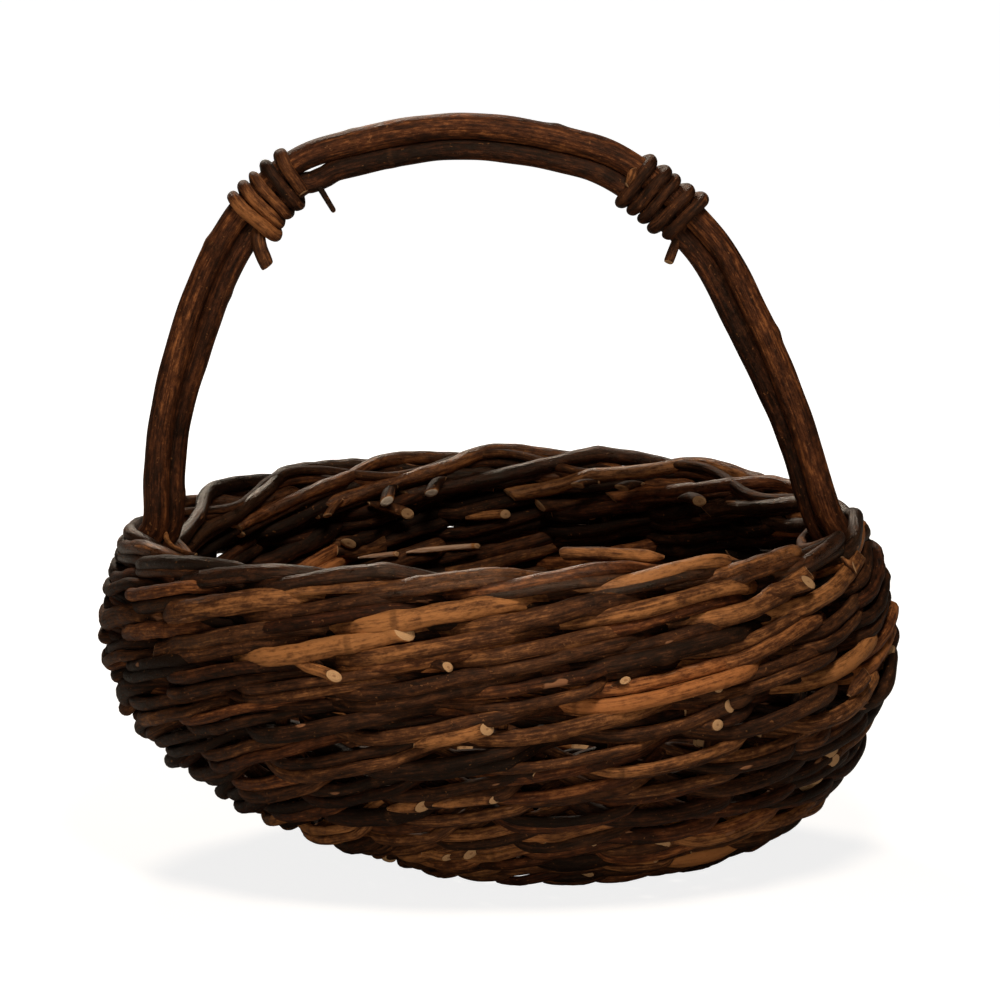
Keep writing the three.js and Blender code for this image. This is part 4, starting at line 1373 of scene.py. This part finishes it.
def floor_material(colours):
    """A pale floor that the camera sees as white, and that keeps the basket's shadow"""
    made = Nodes(bpy.data.materials.new("pale_floor"))
    seen = made.seen()
    matt = made.add("ShaderNodeBsdfDiffuse", {"Color": rgba(colours.floor)})
    place = made.add("ShaderNodeTexCoord").outputs["Object"]
    far = made.add("ShaderNodeVectorMath", {0: place}, operation="LENGTH").outputs["Value"]
    strength = made.maths("MULTIPLY", seen, made.span(far, *GLOW_SPAN, *GLOWS))
    glow = made.add("ShaderNodeEmission", {"Color": WHITE, "Strength": strength})
    both = made.add("ShaderNodeAddShader", {0: matt.outputs[0], 1: glow.outputs[0]})
    made.add("ShaderNodeOutputMaterial", {0: both.outputs[0]})
    return made.owner


# Operators


# The stage: a floor just under the basket, and lamps with place, power, size and aim. The room is
# dim and warm to the basket, and white to the camera.
FLOOR_RADIUS, FLOOR_DROP = 14, 0.5 * MM
LAMP_COLOUR = (1.0, 0.87, 0.72)
ROOM_COLOUR = (0.032, 0.024, 0.017)
LAMPS = [
    ("key_lamp", (0.2, -0.95, 1.5), 17, 0.45, (0, 0, 0.12)),
    ("top_lamp", (-0.35, 1.2, 1.15), 16, 0.4, (0, 0, 0.12)),
    ("left_lamp", (-1.5, -0.8, 0.7), 1.2, 0.9, (0, 0, 0.12)),
    ("low_lamp", (-0.1, -1.1, 0.1), 3.2, 0.4, (0.03, 0, 0.02)),
]
# The camera sees the basket from the photograph's angle, from far off
SENSOR, LENS = 36, 324
CAMERA_AIM, CAMERA_DISTANCE = (0, 0, 0.18), 4.5
CAMERA_TILT = math.radians(10.5)


# Where each group of pieces starts its chance, from the seed on
CHANCES = {
    "courses": 100, "stakes": 200, "sticks": 300, "weavers": 350, "handle": 400, "left": 500,
    "right": 510,
}
# From this course on, counted from 0, three more packing twigs lie in each
FIRST_CLOSE = 8
# Places of packing twigs in such a course and in the border, as shares of the height
CLOSE_SHARES = (-0.25, 0, 0.25)
# The lowest courses are worn flat on the ground
GROUND_COURSES = 2
# Distance between rings of vertices along a wall twig, a handle rod and a vine
WALL_PITCH, HANDLE_PITCH, VINE_PITCH = 2.4 * MM, 2 * MM, 1.2 * MM


def settings():
    return bpy.context.scene.twig_basket


def chance(group, number=0):
    return np.random.default_rng(settings().weave.seed + CHANCES[group] + number)


def place_looking(scene, item, place, aim):
    """Puts a lamp or the camera in the scene, at a place and turned to its aim"""
    item.location = place
    item.rotation_euler = (aim - place).to_track_quat("-Z", "Y").to_euler()
    scene.collection.objects.link(item)


class BASKET_OT_courses(bpy.types.Operator):
    """Weaves the wall's courses of three-rod wale"""

    bl_idname = "basket.courses"
    bl_label = "Wall Courses"
    bl_options = {"REGISTER", "UNDO"}

    def execute(self, context):
        basket = settings()
        wall = Wall(basket)
        material = bark("wall_bark", basket.colours)
        for number in range(basket.weave.courses):
            rng = chance("courses", number)
            twigs = course_twigs(wall, number, rng)
            _, height, middle = wall.courses[number]
            arcs = [middle + height / 2] if number >= THIN_COURSES else []
            if number >= FIRST_CLOSE:
                arcs += [middle + share * height for share in CLOSE_SHARES]
            if number == basket.weave.courses - 1:
                arcs += [wall.border + share * wall.border_height for share in CLOSE_SHARES]
            twigs += [packing_twig(wall, arc, rng) for arc in arcs]
            for stub in STUBS:
                tip_arc = stub[1][1] * MM
                if np.argmin([abs(tip_arc - course[2]) for course in wall.courses]) == number:
                    twigs.append(stub_twig(wall, stub))
            make_rods(
                f"course_{number + 1:02d}_twigs", [f"wall_course_{number + 1:02d}"],
                twigs, material, rng, pitch=WALL_PITCH, ground=number < GROUND_COURSES,
            )
        return {"FINISHED"}


class BASKET_OT_stakes(bpy.types.Operator):
    """Sets the side stakes, whose ends make the border"""

    bl_idname = "basket.stakes"
    bl_label = "Stakes and Border"
    bl_options = {"REGISTER", "UNDO"}

    def execute(self, context):
        basket = settings()
        wall = Wall(basket)
        material = bark("stake_bark", basket.colours, gloss=0.27, shine=0.34)
        for post in range(basket.weave.posts):
            rng = chance("stakes", post)
            twigs = [stake_twig(wall, post, rng, spare) for spare in (False, True)]
            make_rods(
                f"stake_{post + 1:02d}_twig", [f"side_stake_{post + 1:02d}"],
                twigs, material, rng,
            )
        return {"FINISHED"}


class BASKET_OT_base(bpy.types.Operator):
    """Lays the base's crossed sticks and the weavers round their ends"""

    bl_idname = "basket.base"
    bl_label = "Base"
    bl_options = {"REGISTER", "UNDO"}

    def execute(self, context):
        basket = settings()
        wall = Wall(basket)
        material = bark("base_bark", basket.colours)
        half = (basket.weave.sticks - 1) // 2
        for upper in (False, True):
            for number in range(-half, half + 1):
                rng = chance("sticks", number + 20 * upper)
                label = number + half + 1 + (basket.weave.sticks if upper else 0)
                make_rods(
                    f"base_{label:02d}_stick", [f"base_stick_{label:02d}"],
                    [base_stick(wall, number, upper, rng)], material, rng, ground=True,
                )
        for number in (0, 1):
            rng = chance("weavers", number)
            make_rods(
                f"base_weaver_{number + 1}_twig", [f"base_weaver_{number + 1}"],
                [base_weaver(wall, number, rng)], material, rng, sides=12, ground=True,
            )
        return {"FINISHED"}


class BASKET_OT_handle(bpy.types.Operator):
    """Bends the handle's two rods"""

    bl_idname = "basket.handle"
    bl_label = "Handle Rods"
    bl_options = {"REGISTER", "UNDO"}

    def execute(self, context):
        basket = settings()
        wall = Wall(basket)
        bow = Bow(wall)
        material = bark("handle_bark", basket.colours, gloss=0.1, furrows=0.6, peeling=0.8, mottling=1.1)
        for label, inner in (("outer", False), ("inner", True)):
            rng = chance("handle", inner)
            make_rods(
                f"handle_{label}_bark_rod", [f"handle_{label}_rod"],
                [handle_twig(wall, bow, inner)], material, rng, sides=28, pitch=HANDLE_PITCH,
            )
        return {"FINISHED"}


class BASKET_OT_bindings(bpy.types.Operator):
    """Winds the two vine bindings that tie the handle's rods together"""

    bl_idname = "basket.bindings"
    bl_label = "Bindings"
    bl_options = {"REGISTER", "UNDO"}

    def execute(self, context):
        basket = settings()
        wall = Wall(basket)
        bow = Bow(wall)
        handle = basket.handle
        material = bark("binding_bark", basket.colours, gloss=0.05, furrows=0.7, peeling=0.85)
        for label, start, first, loose in (
            ("left", handle.left_start, -0.3, 0.46),
            ("right", handle.right_start, -0.2, handle.turns + 0.2),
        ):
            rng = chance(label)
            last = handle.turns + 0.32
            twigs = [
                binding_twig(wall, bow, start, first, last, loose, BINDING_TONES[label], rng)
            ]
            for places, shares, tone in VINE_ENDS[label]:
                places = [[MM * value for value in place] for place in places]
                radii = [share * basket.rods.vine for share in shares]
                twigs.append(vine_end(places, radii, tone))
            make_rods(
                f"{label}_binding_vine", [f"{label}_binding"], twigs, material,
                rng, sides=18, pitch=VINE_PITCH,
            )
        return {"FINISHED"}


class BASKET_OT_stage(bpy.types.Operator):
    """Sets the floor, the lamps, the world and the camera"""

    bl_idname = "basket.stage"
    bl_label = "Stage"
    bl_options = {"REGISTER", "UNDO"}

    def execute(self, context):
        scene = context.scene
        shape = bmesh.new()
        bmesh.ops.create_circle(shape, cap_ends=True, segments=96, radius=FLOOR_RADIUS)
        mesh = bpy.data.meshes.new("floor")
        shape.to_mesh(mesh)
        shape.free()
        mesh.materials.append(floor_material(settings().colours))
        floor = bpy.data.objects.new("floor", mesh)
        floor.location.z = -FLOOR_DROP
        scene.collection.objects.link(floor)

        for name, place, power, size, aim in LAMPS:
            data = bpy.data.lights.new(name, "AREA")
            data.shape, data.size, data.energy = "DISK", size, power
            data.color = LAMP_COLOUR
            place_looking(scene, bpy.data.objects.new(name, data), Vector(place), Vector(aim))

        made = Nodes(bpy.data.worlds.new("studio"))
        shade = made.mix(made.seen(), rgba(ROOM_COLOUR), WHITE)
        light = made.add("ShaderNodeBackground", {"Color": shade})
        made.add("ShaderNodeOutputWorld", {0: light.outputs[0]})
        scene.world = made.owner

        data = bpy.data.cameras.new("camera")
        data.sensor_width, data.lens = SENSOR, LENS
        camera = bpy.data.objects.new("camera", data)
        aim = Vector(CAMERA_AIM)
        back = Vector((0, -math.cos(CAMERA_TILT), math.sin(CAMERA_TILT)))
        place_looking(scene, camera, aim + back * CAMERA_DISTANCE, aim)
        scene.camera = camera
        scene.view_settings.view_transform = "Standard"
        return {"FINISHED"}


class BASKET_PT_panel(bpy.types.Panel):
    """Lists the basket's pieces and settings"""

    bl_idname = "BASKET_PT_panel"
    bl_label = "Twig Basket"
    bl_space_type = "VIEW_3D"
    bl_region_type = "UI"
    bl_category = "Basket"

    def draw(self, context):
        layout = self.layout
        for operator in OPERATORS:
            layout.operator(operator.bl_idname)
        basket = settings()
        for group in (basket.body, basket.rods, basket.weave, basket.handle, basket.colours):
            box = layout.box()
            for key in group.bl_rna.properties.keys():
                if key not in ("rna_type", "name"):
                    box.prop(group, key)


OPERATORS = (
    BASKET_OT_courses, BASKET_OT_stakes, BASKET_OT_base, BASKET_OT_handle, BASKET_OT_bindings,
    BASKET_OT_stage,
)
CLASSES = (
    BasketBody, BasketRods, BasketWeave, BasketHandle, BasketColours, TwigBasket,
    *OPERATORS, BASKET_PT_panel,
)


def register():
    for item in CLASSES:
        bpy.utils.register_class(item)
    bpy.types.Scene.twig_basket = PointerProperty(type=TwigBasket)


def unregister():
    del bpy.types.Scene.twig_basket
    for item in reversed(CLASSES):
        bpy.utils.unregister_class(item)


def main():
    register()
    bpy.ops.basket.courses()
    bpy.ops.basket.stakes()
    bpy.ops.basket.base()
    bpy.ops.basket.handle()
    bpy.ops.basket.bindings()
    bpy.ops.basket.stage()


if __name__ == "__main__":
    main()
